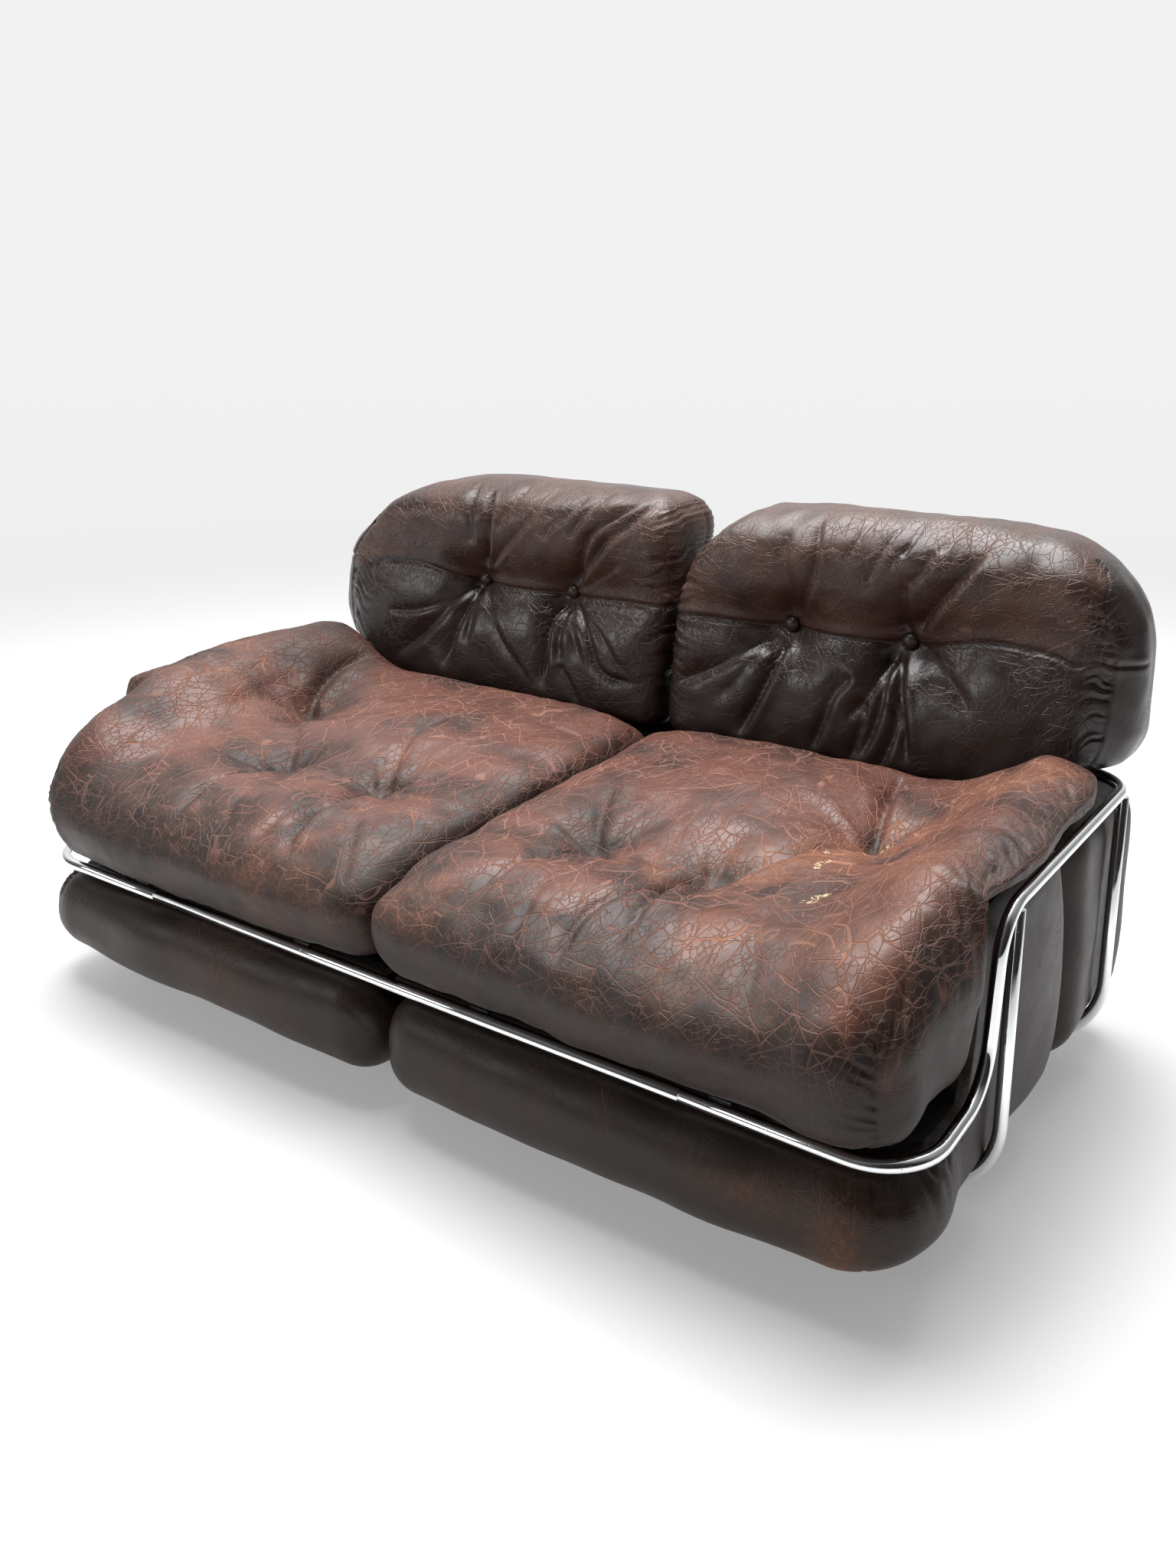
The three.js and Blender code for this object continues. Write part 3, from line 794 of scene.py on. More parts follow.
def seat_cushion(hand):
    block = seat_block(5.2)
    soft = Ripple(11 + HANDS[hand], 190, 3)
    slashes = Ripple(21 + HANDS[hand], 30, 2)

    def settle(points, _normals, flat, _square):
        """Slack leather, small rays round each tuft, and gathers down the outer edge."""
        sag = 1.5 * soft(points)
        for k, (tx, ty, _) in enumerate(SEAT_TUFTS[hand]):
            across, back = flat[:, 0] - tx, flat[:, 1] - ty
            angle, away = np.arctan2(back, across), np.hypot(across, back)
            around = np.stack([np.cos(angle), np.sin(angle)], axis=1)
            rays = Ripple(200 + 10 * k + HANDS[hand], 0.55, 2)(around)
            sag += 2.0 * rays * between(away, 4, 26) * hill(away, 60)
        across, back = flat.T
        gathers = 2.4 * np.abs(slashes(np.stack([back + 0.5 * across, 0.2 * across], axis=1)))
        sag += gathers * hill(across - 800, 38) * (1 - 0.6 * between(back, 300, 500))
        return sag

    points, flat = sculpted(
        hand,
        block,
        seat_shape,
        seat_flat,
        SEAT_FOLDS[hand],
        lambda n: between(n[:, 2] - 0.7 * n[:, 1], -0.1, 0.35),
        settle,
    )
    notes = seat_wear(points, flat, hand)
    name = f"seat_cushion_{hand}_cover"
    piece = add_piece(name, points, block.faces, SEAT_LEATHER, hand, notes)
    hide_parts(f"seat_cushion_{hand}")
    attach(piece, "root")


def patches(flat, places):
    """0 to 1 around each place: across, along, reach and strength."""
    total = np.zeros(len(flat))
    for across, along, reach, strength in places:
        total = np.maximum(total, strength * hill(np.hypot(flat[:, 0] - across, flat[:, 1] - along), reach))
    return total


def seat_wear(points, flat, hand):
    """Rubbed on top, tanned along the wing's ridge, cracked where it bends, and darkened by painted shade low
    down in the gaps and by patches of dirt and painted shade.
    """
    z = points[:, 2]
    cloud = Ripple(51 + HANDS[hand], 150, 3)(points)
    ragged = Ripple(61 + HANDS[hand], 60, 3)(points)
    above = between(z + 8 * ragged, 366, 406)
    ridge, _ = near_line(flat, line_of(SEAT_RIDGE[hand]))
    tanned = patches(flat, SEAT_TAN[hand]) + SEAT_RIDGE_TAN[hand] * hill(ridge, 44)
    tanned = np.clip(tanned * (1 + 0.35 * cloud) + 0.06 * cloud, 0, 1)
    side = between(flat[:, 0], {"right": 735, "left": 640}[hand], 800)
    high = mixed(0.42, 1, between(z + 10 * cloud, 374, 424))
    worn = np.clip((0.84 + 0.22 * cloud) * above * high * (1 - 0.75 * side), 0, 1)
    cracked = 0.12 + 0.5 * between(z + 9 * ragged, 300, 350) + 0.38 * between(z, 370, 410)
    cracked = np.clip(cracked * (1 - 0.45 * side), 0, 1)
    # Painted shade along the cushion's bottom, in the gap above the base, and listed patches of dirt and
    # painted shade.
    dirt_and_shade = np.clip(0.5 * (1 - between(z, 236, 262)) + patches(flat, SEAT_DIRT_AND_SHADE[hand]), 0, 1)
    torn = np.zeros(len(flat))
    for tear in SEAT_TEARS[hand]:
        away, _ = near_line(flat, line_of(tear))
        torn = np.maximum(torn, hill(away, 3.2))
    return {"worn": worn, "tanned": tanned, "cracked": cracked, "dirt_and_shade": dirt_and_shade, "torn": torn}


def back_cushion(hand):
    block = back_block(5, 3.6)
    soft = Ripple(71 + HANDS[hand], 200, 3)
    gathers = Ripple(81 + HANDS[hand], 26, 2)
    drift = Ripple(85 + HANDS[hand], 90, 2)

    def settle(points, normals, flat, square):
        """Slack leather, the middle seam's groove, gathers at both ends, and the piping round the side."""
        across, up = flat.T
        seam = up - seam_height(across)
        front = between(-normals[:, 1], 0.05, 0.45)
        groove = 3.0 * hill(seam, 2.6) - 1.0 * hill(seam - 11, 5) - 0.8 * hill(seam + 11, 5)
        beside = across - side_seam(up)
        outer = hill(np.minimum(beside + 6, 0), 34) * (beside < 0) * hill(up - 600, 130)
        inner = hill(across - 8, 30) * hill(up - 650, 120)
        run = np.stack([up + 0.25 * across + 5 * drift(flat), 0.16 * across], axis=1)
        tight = 2.4 * np.abs(gathers(run)) * (outer + 0.9 * inner)
        piping = 2.6 * hill(beside, 2.6) - 1.0 * hill(beside - 7, 4)
        rear_line = 2.2 * hill(square[:, 1] - 40, 3.0) * (1 - front)
        return 1.3 * soft(points) + groove * front + tight + piping + rear_line * (square[:, 0] < 8)

    points, flat = sculpted(
        hand,
        block,
        back_shape,
        back_flat,
        BACK_FOLDS[hand],
        lambda n: between(-n[:, 1] + 0.5 * n[:, 2], 0.0, 0.4),
        settle,
    )
    notes = back_wear(points, flat, hand)
    name = f"back_cushion_{hand}_cover"
    piece = add_piece(name, points, block.faces, BACK_LEATHER, hand, notes)
    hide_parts(f"back_cushion_{hand}")
    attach(piece, "root")
    return piece


def side_seam(up):
    """How far across the cover the side seam lies, at each height: it curls back at the top."""
    return 762 + 70 * between(up, 690, 790) ** 1.4


def back_wear(points, flat, hand):
    """Rubbed above the middle seam as far as the side seam, cracked in patches, and darkened along its bottom
    by painted shade where it meets the seat.
    """
    x, _, z = points.T
    cloud = Ripple(91 + HANDS[hand], 140, 3)(points)
    edge = -side_seam(flat[:, 1])
    above = between(z - seam_height(x), -3, 4) * between(-flat[:, 0], edge, edge + 4)
    worn = np.clip(above * (0.62 + 0.2 * cloud + 0.3 * between(z, 700, 800)), 0, 1)
    tanned = np.clip((0.06 + 0.08 * cloud) * above + patches(flat, BACK_TAN[hand]), 0, 1)
    cracked = np.clip(0.12 + 0.12 * cloud + patches(flat, BACK_CRACKED[hand]), 0, 1)
    # Painted shade along the cushion's bottom, where it sits down behind the seat.
    dirt_and_shade = np.clip(0.35 * (1 - between(z, 440, 520)), 0, 1)
    return {"worn": worn, "tanned": tanned, "cracked": cracked, "dirt_and_shade": dirt_and_shade}


def pod(hand, name, block, shape, seed):
    soft = Ripple(seed + HANDS[hand], 260, 2)
    points = shape(block.at)
    normals = point_normals(points, block.faces)
    height = points[:, 2]
    sunk = 1.2 * soft(points)
    if name == "base_pod":
        sunk += base_pod_folds(hand, points)
    points = points - normals * sunk[:, None]
    cloud = Ripple(seed + 7, 120, 3)(points)
    scuffs = pod_scuffs(points, hand) if name == "base_pod" else 0 * height
    notes = {
        "worn": np.clip(0.2 + 0.12 * cloud, 0, 1),
        "tanned": np.clip(scuffs, 0, 1),
        "cracked": np.clip(0.10 + 0.1 * cloud + scuffs, 0, 1),
        # Painted shade along the pod's underside, near the floor.
        "dirt_and_shade": np.clip(0.6 * (1 - between(height, 52, 80)), 0, 1),
    }
    piece = add_piece(f"{name}_{hand}_cover", points, block.faces, POD_LEATHER, hand, notes)
    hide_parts(f"{name}_{hand}")
    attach(piece, "root")


def base_pod_folds(hand, points):
    """Puckers that run down under the rail's corner, the corner seam, and small tucks at the inner end."""
    x, y, z = points.T
    round_corner = np.arctan2(x - 700, -(y - 60))
    pleats = Ripple(171 + HANDS[hand], 0.16, 2)(round_corner)
    held = between(round_corner, 0.1, 0.5) * (1 - between(round_corner, 2.2, 3.0)) * between(z, 120, 200)
    tucks = Ripple(181 + HANDS[hand], 22, 2)(y + 0.4 * z) * hill(x - 12, 26) * between(z, 80, 190)
    seam = hill((round_corner - 0.55) * 90, 2.4) * (1 - between(z, 196, 204)) * (y < 60)
    return 2.6 * np.abs(pleats) * held + 1.2 * np.abs(tucks) + 2.0 * seam


def pod_scuffs(points, hand):
    """Where the pod is rubbed through: the right one's front outer corner, the left one's face a little."""
    x, y, z = points.T
    if hand == "left":
        return 0.25 * hill(np.hypot(x - 300, z - 150), 60) * (y < 30)
    edge = 0.9 * hill(np.hypot((x - 712) * 1.3, (z - 104) * 0.6), 30) * (y < 90)
    patch = 0.4 * hill(np.hypot((x - 600) * 0.6, (z - 150) * 1.6), 26) * (y < 40)
    return edge + patch


# Each fold: places on the flat cover, depth, width and lip.
SEAT_FOLDS = {
    "right": [
        ([(203, 232), (183, 266), (160, 316), (144, 360), (131, 402)], 7, 9, 0.4),
        ([(200, 229), (186, 177), (170, 112), (170, 57), (174, 4)], 8, 6, 0.5),
        ([(225, 127), (248, 39), (257, -30), (267, -121)], 3, 4, 0.5),
        ([(392, 225), (372, 183), (383, 98), (391, 42), (391, -2)], 10, 6, 0.5),
        ([(382, 215), (362, 143), (339, 85), (327, 43), (329, -6), (334, -77)], 7, 6, 0.5),
        ([(390, 215), (432, 97), (470, 23)], 3, 5, 0.4),
        ([(396, 228), (437, 256), (475, 316), (506, 396), (534, 426)], 7, 9, 0.3),
        ([(531, 431), (528, 469), (508, 546), (497, 609), (492, 660)], 15, 7, 0.5),
        ([(395, 235), (389, 296), (387, 343)], 5, 11, 0.3),
        ([(205, 228), (250, 214), (300, 214), (360, 222)], 4, 9, 0.3),
        ([(520, 150), (560, 60), (590, -20)], 2.5, 7, 0.4),
    ],
    "left": [
        ([(579, 416), (607, 478), (626, 555), (628, 609), (627, 654)], 17, 8, 0.5),
        ([(211, 226), (213, 248), (236, 293), (270, 370), (277, 426), (263, 485)], 10, 9, 0.4),
        ([(413, 219), (427, 167), (427, 107), (425, 57), (415, 20), (413, -12)], 11, 6, 0.5),
        ([(346, 109), (333, 53), (314, 4)], 3, 4, 0.5),
        ([(213, 222), (186, 135), (189, 85), (188, 47), (180, 17), (161, -25)], 11, 6, 0.5),
        ([(206, 108), (227, 61), (234, 24), (229, -22)], 5, 5, 0.5),
        ([(157, 137), (97, 62), (62, 10), (28, -40)], 3, 5, 0.4),
        ([(576, 408), (540, 358), (425, 247), (414, 223)], 4, 8, 0.3),
        ([(413, 219), (452, 188), (505, 169), (579, 169)], 4, 8, 0.3),
        ([(581, 412), (614, 387), (629, 347), (636, 284)], 5, 10, 0.3),
    ],
}
BACK_FOLDS = {
    "right": [
        ([(228, 599), (222, 579), (215, 547), (198, 500), (175, 448), (160, 410)], 14, 7, 0.6),
        ([(222, 601), (190, 589), (155, 566), (105, 531), (6, 482)], 8, 11, 0.35),
        ([(222, 596), (190, 570), (151, 516), (110, 462)], 4, 11, 0.3),
        ([(432, 610), (419, 598), (403, 561), (389, 525), (353, 475)], 10, 8, 0.5),
        ([(431, 605), (435, 579), (444, 541), (455, 500), (462, 463), (468, 418)], 10, 6, 0.6),
        ([(429, 607), (418, 581), (415, 546), (413, 508), (399, 455), (371, 393)], 8, 6, 0.5),
        ([(433, 528), (443, 497), (437, 457), (416, 392)], 7, 5, 0.5),
        ([(361, 559), (333, 521), (319, 474), (293, 396)], 7, 7, 0.5),
        ([(391, 521), (385, 476), (365, 394)], 6, 5, 0.5),
        ([(447, 612), (482, 604), (515, 581), (550, 548), (562, 512)], 5, 12, 0.2),
        ([(233, 619), (262, 678), (270, 715), (268, 747), (251, 794), (234, 853)], 8, 6, 0.5),
        ([(224, 618), (232, 680), (209, 730), (192, 772), (179, 812)], 6, 9, 0.3),
        ([(432, 626), (432, 673), (437, 703), (455, 723)], 8, 9, 0.3),
        ([(449, 630), (482, 673), (522, 720), (557, 758), (588, 788)], 13, 7, 0.6),
        ([(443, 713), (455, 723), (477, 745), (493, 785)], 5, 5, 0.4),
        ([(370, 709), (390, 755), (406, 800), (419, 857)], 3, 4, 0.4),
        ([(329, 743), (340, 788), (353, 852)], 3, 4, 0.4),
        ([(432, 756), (447, 802), (455, 864)], 3, 4, 0.4),
        ([(497, 769), (518, 818), (537, 893)], 3, 4, 0.4),
        ([(407, 731), (428, 762), (449, 793)], 2.5, 4, 0.4),
    ],
    "left": [
        ([(442, 622), (471, 596), (499, 564), (524, 532), (575, 484), (641, 436)], 8, 9, 0.4),
        ([(443, 620), (457, 581), (470, 546), (482, 506), (493, 462), (515, 432)], 13, 8, 0.5),
        ([(441, 619), (441, 574), (443, 530), (448, 489)], 6, 7, 0.4),
        ([(648, 539), (579, 545), (518, 567), (472, 601)], 4, 6, 0.4),
        ([(428, 611), (389, 555), (353, 511), (311, 471), (275, 428)], 3, 5, 0.4),
        ([(228, 605), (247, 586), (256, 561), (257, 523), (256, 474), (257, 429)], 14, 7, 0.6),
        ([(224, 603), (229, 568), (228, 527), (221, 485)], 7, 7, 0.5),
        ([(219, 604), (181, 575), (155, 538), (139, 502), (113, 482), (77, 478), (37, 478)], 8, 6, 0.5),
        ([(223, 603), (203, 558), (185, 524), (169, 488)], 5, 8, 0.3),
        ([(211, 603), (154, 570), (119, 543), (86, 506), (53, 480)], 3, 4, 0.4),
        ([(222, 490), (191, 450), (170, 410)], 3, 5, 0.4),
        ([(427, 639), (411, 684), (406, 720), (407, 761), (432, 838)], 13, 6, 0.5),
        ([(446, 687), (458, 730), (474, 767), (487, 806), (504, 863)], 6, 7, 0.4),
        ([(416, 640), (377, 677), (330, 725), (298, 762), (274, 816), (266, 867)], 4, 5, 0.4),
        ([(381, 722), (361, 763), (344, 818), (335, 870)], 5, 5, 0.4),
        ([(271, 711), (258, 740), (216, 781), (193, 850)], 4, 5, 0.4),
        ([(216, 721), (196, 760), (174, 800), (144, 863)], 5, 5, 0.4),
        ([(222, 620), (197, 674), (182, 715), (159, 748), (119, 783), (81, 832)], 14, 7, 0.5),
        ([(219, 621), (171, 680), (129, 729), (83, 769), (29, 851)], 9, 7, 0.5),
        ([(209, 620), (127, 669), (88, 701)], 2.5, 4, 0.3),
    ],
}

# Wear, and patches of dirt and painted shade: across, along, reach and strength on the flat cover.
SEAT_RIDGE = {
    "right": [(379, 215), (472, 300), (540, 400), (600, 500), (700, 577), (790, 574)],
    "left": [(560, 200), (700, 340), (740, 480)],
}
SEAT_RIDGE_TAN = {"right": 0.85, "left": 0.22}
SEAT_TAN = {
    "right": [
        (478, -20, 45, 0.55),
        (529, 45, 55, 0.6),
        (643, 50, 60, 0.65),
        (699, -5, 45, 0.6),
        (800, 40, 40, 0.55),
        (880, -15, 35, 0.4),
        (66, -50, 60, 0.6),
        (510, 200, 45, 0.5),
        (687, 240, 60, 0.6),
        (725, 91, 35, 0.45),
        (380, -60, 40, 0.3),
    ],
    "left": [
        (732, 343, 60, 0.25),
        (467, 405, 50, 0.2),
        (315, -58, 60, 0.5),
        (88, -87, 80, 0.6),
        (200, -80, 70, 0.45),
    ],
}
# Where the cover is torn through to its pale backing.
SEAT_TEARS = {
    "right": [
        [(556, 452), (541, 425), (548, 404), (528, 386)],
        [(528, 322), (519, 300), (524, 284)],
        [(572, 214), (560, 204), (566, 190), (551, 184)],
        [(500, 356), (509, 344)],
    ],
    "left": [],
}
# Patches of dirt and painted shade on the flat cover: across, along, reach and strength.
SEAT_DIRT_AND_SHADE = {
    "right": [(640, 120, 60, 0.3), (770, 300, 60, 0.4), (190, 270, 50, 0.2)],
    "left": [(640, 520, 80, 0.75), (560, 400, 50, 0.25), (700, 600, 70, 0.5), (400, 262, 60, 0.3)],
}
BACK_TAN = {
    "right": [(660, 760, 90, 0.22), (560, 800, 80, 0.2), (60, 720, 50, 0.18)],
    "left": [(120, 660, 70, 0.15), (640, 780, 80, 0.15)],
}
BACK_CRACKED = {
    "right": [
        (600, 780, 110, 0.9),
        (700, 700, 60, 0.8),
        (520, 650, 50, 0.7),
        (260, 570, 45, 0.9),
        (60, 700, 70, 0.9),
        (40, 560, 60, 0.5),
        (620, 560, 60, 0.45),
        (350, 850, 130, 0.5),
    ],
    "left": [
        (640, 780, 110, 1.0),
        (500, 850, 90, 0.7),
        (110, 680, 90, 0.9),
        (300, 760, 70, 0.6),
        (330, 560, 60, 0.5),
        (690, 560, 60, 0.5),
        (80, 480, 70, 0.4),
    ],
}

back_covers = {}
for hand in HANDS:
    seat_cushion(hand)
    back_covers[hand] = back_cushion(hand)
    pod(hand, "base_pod", base_block(7), base_shape, 111)
    pod(hand, "rear_pod", rear_block(8.5), rear_shape, 131)


# ---------------------------------------------------------------- things laid on the covers
class Surface:
    """A finished cover, ready to be touched from the front, in local millimetres."""

    def __init__(self, piece, hand):
        mesh = piece.data
        points = np.empty(len(mesh.vertices) * 3, np.float32)
        mesh.vertices.foreach_get("co", points)
        points = points.reshape(-1, 3).astype(float) / MM
        points[:, 0] *= HANDS[hand]
        points[:, 1] -= FRONT
        faces = [tuple(polygon.vertices) for polygon in mesh.polygons]
        self.tree = BVHTree.FromPolygons(points.tolist(), faces)

    def ahead(self, x, z):
        """The place met from in front, and the direction that the surface faces there."""
        place, normal, _, _ = self.tree.ray_cast(Vector((x, -400, z)), Vector((0, 1, 0)))
        if place is None:
            return None
        normal = np.array(normal)
        if normal[1] > 0:
            normal = -normal
        return np.array(place), normal


def bar(start, end, normal, width, height, sides=6):
    """A small rounded bar between two places: points and faces."""
    run = end - start
    length = np.linalg.norm(run)
    run = run / length
    across = np.cross(normal, run)
    rings = []
    for share, size in ((0.0, 0.35), (0.16, 0.85), (0.5, 1.0), (0.84, 0.85), (1.0, 0.35)):
        angles = np.linspace(0, 2 * math.pi, sides, endpoint=False)
        wide = np.outer(np.cos(angles), across) * width / 2 * size
        tall = np.outer(np.sin(angles), normal) * height / 2 * size
        rings.append(start + run * share * length + (wide + tall))
    return tube_mesh(rings)


def tube_mesh(rings):
    """Rings of points joined into a closed skin with capped ends."""
    count, sides = len(rings), len(rings[0])
    points = np.vstack([*rings, rings[0].mean(axis=0), rings[-1].mean(axis=0)])
    faces = []
    for i in range(count - 1):
        for j in range(sides):
            k = (j + 1) % sides
            a, b = i * sides, (i + 1) * sides
            faces.append((a + j, a + k, b + k, b + j))
    first, last = count * sides, count * sides + 1
    for j in range(sides):
        k = (j + 1) % sides
        faces.append((k, j, first, first))
        faces.append(((count - 1) * sides + j, (count - 1) * sides + k, last, last))
    return points, faces


def joined(parts):
    points, faces, total = [], [], 0
    for some, made in parts:
        points.append(some)
        faces.extend(tuple(corner + total for corner in face) for face in made)
        total += len(some)
    return np.vstack(points), faces


def add_small(name, parts, finish, hand):
    """One piece from many small closed meshes."""
    points, faces = joined(parts)
    mesh = bpy.data.meshes.new(name)
    clean = [tuple(dict.fromkeys(face)) for face in faces]
    if HANDS[hand] < 0:
        clean = [face[::-1] for face in clean]
    mesh.from_pydata(to_world(points, hand).tolist(), [], clean)
    mesh.polygons.foreach_set("use_smooth", np.ones(len(mesh.polygons), bool))
    mesh.materials.append(finish)
    piece = bpy.data.objects.new(name, mesh)
    bpy.context.scene.collection.objects.link(piece)
    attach(piece, "root")
    return piece


STITCH_PITCH = 4.4
STITCH_SHARE = 0.72
STITCH_WIDTH = 1.0
STITCH_HEIGHT = 0.9
STITCH_LIFT = 0.1
SEAM_HALF = 4.6


def sewn(places):
    """Stitches along a row of touched places: each dips at its ends."""
    spots = np.array([place for place, _ in places])
    normals = np.array([normal for _, normal in places])
    run = np.concatenate([[0], np.cumsum(np.linalg.norm(np.diff(spots, axis=0), axis=1))])

    def along(values, distance):
        return np.array([np.interp(distance, run, values[:, axis]) for axis in range(3)])

    parts = []
    for k in range(int(run[-1] / STITCH_PITCH)):
        start = along(spots, k * STITCH_PITCH)
        end = along(spots, (k + STITCH_SHARE) * STITCH_PITCH)
        normal = along(normals, (k + STITCH_SHARE / 2) * STITCH_PITCH)
        normal /= np.linalg.norm(normal)
        lift = STITCH_LIFT * normal
        parts.append(bar(start + lift, end + lift, normal, STITCH_WIDTH, STITCH_HEIGHT))
    return parts


THREAD = plain("waxed_thread", (0.055, 0.034, 0.026), (0.11, 0.06, 0.04), 0.55, size=0.002)


def back_stitches(hand):
    """A row of stitches on each side of the middle seam, broken at the buttons."""
    surface = Surface(back_covers[hand], hand)
    parts = []
    for off in (-SEAM_HALF, SEAM_HALF):
        rows = [[]]
        for x in np.arange(24, 748, 3.0):
            if min(abs(x - bx) for bx in BUTTON_XS) < 15:
                rows.append([])
                continue
            hit = surface.ahead(x, seam_height(np.array([x]))[0] + off)
            if hit is not None:
                rows[-1].append(hit)
        for row in rows:
            if len(row) > 3:
                parts += sewn(row)
    add_small(f"seam_stitches_{hand}", parts, THREAD, hand)


# A button's dome and turned edge: share of its radius, and how far ahead of its middle.
BUTTON_CROWN = 7.2
BUTTON_DOME = [(0.3, 6.9), (0.55, 5.9), (0.78, 4.2), (0.93, 2.2)]
BUTTON_RIM = [(1.0, 0.2), (0.97, -1.6), (0.86, -2.6), (0.8, -6)]


def button(hand, place):
    """A leather-covered button: a low dome with a turned edge, sunk a little in its tuft."""
    low, high = span(f"button_{place}_{hand}")
    middle = (low + high) / 2
    radius = (high[0] - low[0]) / 2
    front = (low[1] + high[1]) / 2 - FRONT - 1
    angles = np.linspace(0, 2 * math.pi, 28, endpoint=False)
    rings = []
    for share, ahead in BUTTON_DOME + BUTTON_RIM:
        across, up = np.cos(angles) * radius * share, np.sin(angles) * radius * share
        ring = np.stack([across, 0 * angles - ahead, up], axis=1)
        rings.append(ring + np.array([abs(middle[0]), front, middle[2]]))
    points, faces = tube_mesh(rings)
    points[-2] = (abs(middle[0]), front - BUTTON_CROWN, middle[2])
    name = f"button_{place}_{hand}_cover"
    piece = add_small(name, [(points, faces)], BUTTON_LEATHER, hand)
    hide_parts(f"button_{place}_{hand}")


for hand in HANDS:
    back_stitches(hand)
    for place in ("inner", "outer"):
        button(hand, place)


# ---------------------------------------------------------------- tubes
def bent_path(corners, radii, steps=14):
    """A path through corners, each turned on its own radius."""
    corners = np.array(corners, float)
    path = [corners[0]]
    for corner, before, after, radius in zip(corners[1:-1], corners[:-2], corners[2:], radii):
        into, out = corner - before, after - corner
        into, out = into / np.linalg.norm(into), out / np.linalg.norm(out)
        turn = math.acos(np.clip(into @ out, -1, 1))
        reach = radius * math.tan(turn / 2)
        inward = out - into
        centre = corner + inward / np.linalg.norm(inward) * radius / math.cos(turn / 2)
        start = corner - into * reach
        first = start - centre
        for k in range(steps + 1):
            angle = turn * k / steps
            path.append(centre + first * math.cos(angle) + into * radius * math.sin(angle))
    path.append(corners[-1])
    return np.array(path)


def swept(path, radius, sides=28, edge=0.8):
    """A round bar along a path, its ends slightly broken."""
    ways = np.diff(path, axis=0)
    ways /= np.linalg.norm(ways, axis=1, keepdims=True)
    tangents = np.vstack([ways[0], ways[:-1] + ways[1:], ways[-1]])
    tangents /= np.linalg.norm(tangents, axis=1, keepdims=True)
    side = np.cross(tangents[0], (0.3, 0.2, 0.9))
    side /= np.linalg.norm(side)
    angles = np.linspace(0, 2 * math.pi, sides, endpoint=False)
    rings = []
    for k, (place, way) in enumerate(zip(path, tangents)):
        side = side - way * (side @ way)
        side /= np.linalg.norm(side)
        other = np.cross(way, side)
        ring = np.outer(np.cos(angles), side) + np.outer(np.sin(angles), other)
        if k == 0:
            rings.append(place + ring * (radius - edge))
            rings.append(place + way * edge + ring * radius)
        elif k == len(path) - 1:
            rings.append(place - way * edge + ring * radius)
            rings.append(place + ring * (radius - edge))
        else:
            rings.append(place + ring * radius)
    return tube_mesh(rings)


HOOP_BEND = 121
RAIL_BENDS = (84, 73, 66, 84)


def chrome_bar(name, path, hand="right"):
    piece = add_small(f"{name}_bright", [swept(path, TUBE_R)], CHROME, hand)
    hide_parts(name)


for hand in HANDS:
    bends = [
        (SEAM_X, 0, FRONT_RAIL_Z),
        (RAIL_X, 0, FRONT_RAIL_Z),
        (RAIL_X, 206, FRONT_RAIL_Z + 9),
        (RAIL_X, 229, ARM_Z),
        (RAIL_X, REAR_Y, ARM_Z),
        (SEAM_X, REAR_Y, ARM_Z),
    ]
    chrome_bar(f"rail_{hand}", bent_path(bends, RAIL_BENDS), hand)
for name, depth, height in (("rail_front", 0, FRONT_RAIL_Z), ("rail_rear", REAR_Y, ARM_Z)):
    reach = span(name)[1][0]
    chrome_bar(name, np.array([(-reach, depth, height), (0, depth, height), (reach, depth, height)]))
for name in ("hoop_front", "hoop_rear"):
    depth, height, top = hoop_line(name)
    foot = [(-RAIL_X, depth, top), (-RAIL_X, depth, height), (RAIL_X, depth, height), (RAIL_X, depth, top)]
    chrome_bar(name, bent_path(foot, (HOOP_BEND, HOOP_BEND)))


# ---------------------------------------------------------------- liner
LINER_CORNER = 75
LINER_STEP = 12
LINER_CLIMB = (158, 200)


def liner(hand):
    """A black cloth laid over the boards and up over the arm, under the seat cushion."""
    low, high = local("liner_right")
    xs = grid_lines(low[0], high[0] - 3, LINER_STEP)
    ys = grid_lines(low[1], high[1], LINER_STEP)
    x, y = np.meshgrid(xs, ys, indexing="ij")
    level = mixed(low[2] + 1, high[2] - 1, between(x, 640, 690) * between(y, *LINER_CLIMB))
    spots = np.stack([x.ravel(), y.ravel()], axis=1)
    level = level + 0.6 * Ripple(141 + HANDS[hand], 60, 2)(spots).reshape(x.shape)
    plan_x, plan_y = high[0] - LINER_CORNER, low[1] + LINER_CORNER
    over = (x > plan_x) & (y < plan_y)
    away = np.hypot(x - plan_x, y - plan_y)
    square = np.maximum(np.abs(x - plan_x), np.abs(y - plan_y))
    pull = np.where(over & (away > 0), square / np.maximum(away, 1e-9), 1)
    x = np.where(over, plan_x + (x - plan_x) * pull, x)
    y = np.where(over, plan_y + (y - plan_y) * pull, y)
    points = np.stack([x.ravel(), y.ravel(), level.ravel()], axis=1)
    index = np.arange(len(points)).reshape(len(xs), len(ys))
    faces = np.stack([index[:-1, :-1], index[1:, :-1], index[1:, 1:], index[:-1, 1:]], axis=-1).reshape(-1, 4)
    piece = add_piece(f"liner_{hand}_sheet", points, faces, CLOTH, hand)
    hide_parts(f"liner_{hand}")
    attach(piece, "root")
    corners = points[faces]
    across = np.cross(corners[:, 2] - corners[:, 0], corners[:, 3] - corners[:, 1])
    area = float(np.linalg.norm(across, axis=1).sum() / 2) * MM * MM
    width = (high[0] - low[0] + high[2] - low[2] - 40) * MM
    length = (high[1] - low[1] + high[2] - low[2] - 40) * MM


for hand in HANDS:
    liner(hand)


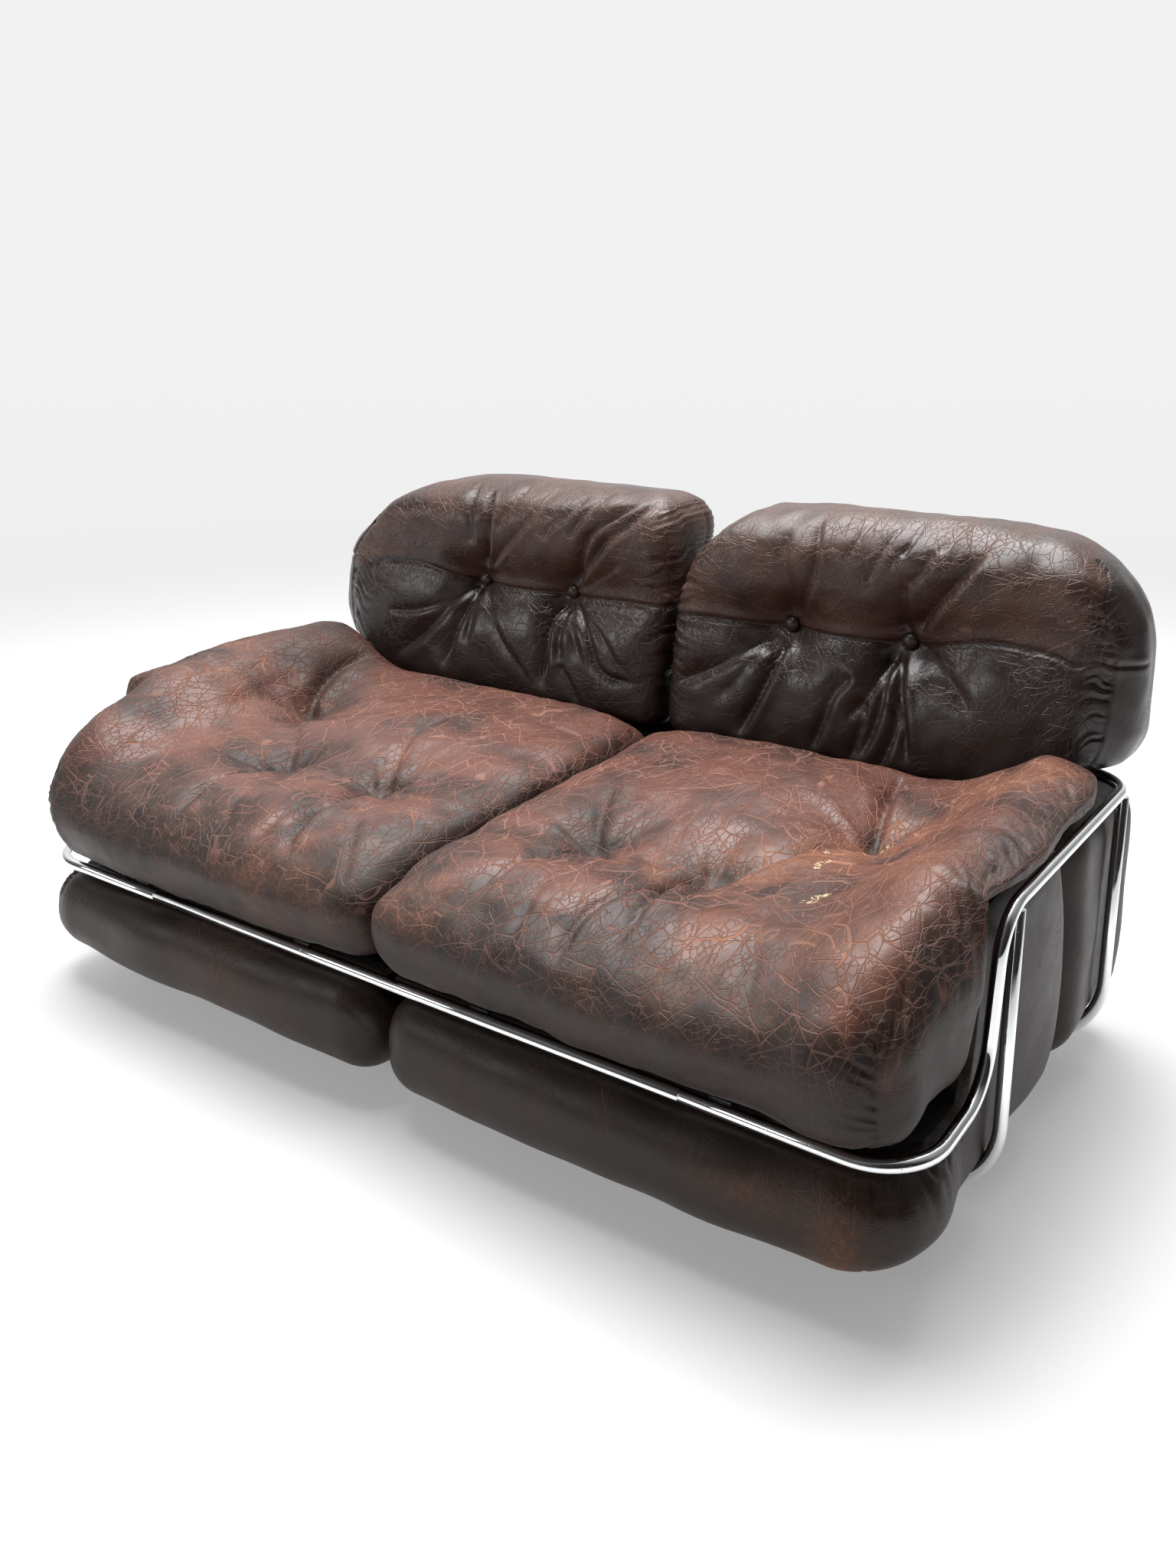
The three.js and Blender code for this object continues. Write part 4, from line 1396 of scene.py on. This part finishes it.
# ---------------------------------------------------------------- finishes of the carried-over nodes
FINISH_OF = {
    "rail": CHROME,
    "hoop": CHROME,
    "spigot": STEEL,
    "bracket": STEEL,
    "screw": STEEL,
    "upright": STEEL,
    "glide": PLASTIC,
    "block": WOOD,
    "platform": WOOD,
    "button": BUTTON_LEATHER,
    "liner": CLOTH,
}
for name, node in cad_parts.items():
    finish = FINISH_OF.get(name.split("_")[0])
    if finish is not None:
        node.data.materials.clear()
        node.data.materials.append(finish)

# ---------------------------------------------------------------- room, light and camera
FLOOR_HALF = 60


def room():
    """A pale floor that brightens into a pale backdrop, glowing faintly near the sofa as painted light in its
    shadows, and light that comes mostly from behind and above.
    """
    mesh = bpy.data.meshes.new("floor")
    corners = [(x * FLOOR_HALF, y * FLOOR_HALF, 0) for x, y in ((-1, -1), (1, -1), (1, 1), (-1, 1))]
    mesh.from_pydata(corners, [], [(0, 1, 2, 3)])
    floor = bpy.data.objects.new("floor", mesh)
    bpy.context.scene.collection.objects.link(floor)
    finish = Finish("pale_floor")
    away = finish.node("VectorMath", {"operation": "LENGTH"}, {0: finish.place}).outputs["Value"]
    far = Amount(finish, away).over(1.6, 6.0)
    base = finish.colours(far, (0.62, 0.62, 0.62), (0.04, 0.04, 0.04))
    # The floor glows: faintly near the sofa, painted light that lifts the shadows under it, and fully far
    # off, where it is the evenly bright backdrop.
    glow = finish.colours(far, (0.27, 0.27, 0.27), (0.80, 0.80, 0.805))
    values = {"Roughness": 0.7, "Specular_IOR_Level": 0.1, "Emission_Strength": 1.0}
    mesh.materials.append(finish.ends_with(Base_Color=base, Emission_Color=glow, **values))
    world = bpy.data.worlds.new("studio")
    sky = Nodes(world)
    way = sky.node("TexCoord").outputs["Generated"]
    rear_and_up = (-0.15, 0.90, 0.35)
    share = sky.node("VectorMath", {"operation": "DOT_PRODUCT"}, {0: way, 1: rear_and_up}).outputs["Value"]
    bright = Amount(sky, share).over(-0.15, 0.5)
    tone = sky.colours(bright, (0.09, 0.09, 0.094), (0.885, 0.885, 0.89))
    parts = sky.node("SeparateXYZ", {}, {0: way}).outputs
    overhead = Amount(sky, parts["Z"]).over(0.28, 0.8)
    flagged = Amount(sky, parts["X"]).over(0.0, 0.5)
    strength = (1 + 0.5 * overhead) * (1 - 0.75 * flagged)
    background = sky.node("Background", {}, {"Color": tone, "Strength": strength})
    sky.node("OutputWorld", {}, {"Surface": background.outputs[0]})
    bpy.context.scene.world = world


def soft_light(name, place, target, width, height, power):
    data = bpy.data.lights.new(name, "AREA")
    data.shape = "RECTANGLE"
    data.size, data.size_y = width, height
    data.energy = power
    lamp = bpy.data.objects.new(name, data)
    lamp.location = place
    lamp.rotation_mode = "QUATERNION"
    lamp.rotation_quaternion = (Vector(target) - Vector(place)).to_track_quat("-Z", "Y")
    bpy.context.scene.collection.objects.link(lamp)


VIEWER_PLACE = (1.2435, -1.695, 1.1367)
VIEWER_AHEAD = (-0.5613, 0.7905, -0.2451)
VIEWER_RIGHT = (0.8153, 0.5790, 0.0)
VIEWER_LENS = 31.33
VIEWER_SHIFT = -0.0866


def camera():
    """Stands off the sofa's right front corner at chest height, with a moderate wide lens."""
    data = bpy.data.cameras.new("camera")
    data.lens = VIEWER_LENS
    data.shift_y = VIEWER_SHIFT
    viewer = bpy.data.objects.new("camera", data)
    ahead = Vector(VIEWER_AHEAD).normalized()
    right = Vector(VIEWER_RIGHT).normalized()
    up = right.cross(ahead)
    turn = Matrix((right, up, -ahead)).transposed().to_4x4()
    viewer.matrix_world = Matrix.Translation(VIEWER_PLACE) @ turn
    bpy.context.scene.collection.objects.link(viewer)
    bpy.context.scene.camera = viewer


room()
soft_light("overhead", (-0.3, 0.45, 3.1), (0, 0.3, 0.4), 3.2, 2.0, 195)
soft_light("front_card", (-2.4, -3.1, 1.65), (0, 0.3, 0.6), 2.2, 0.8, 30)
camera()
bpy.context.scene.view_settings.view_transform = "Standard"
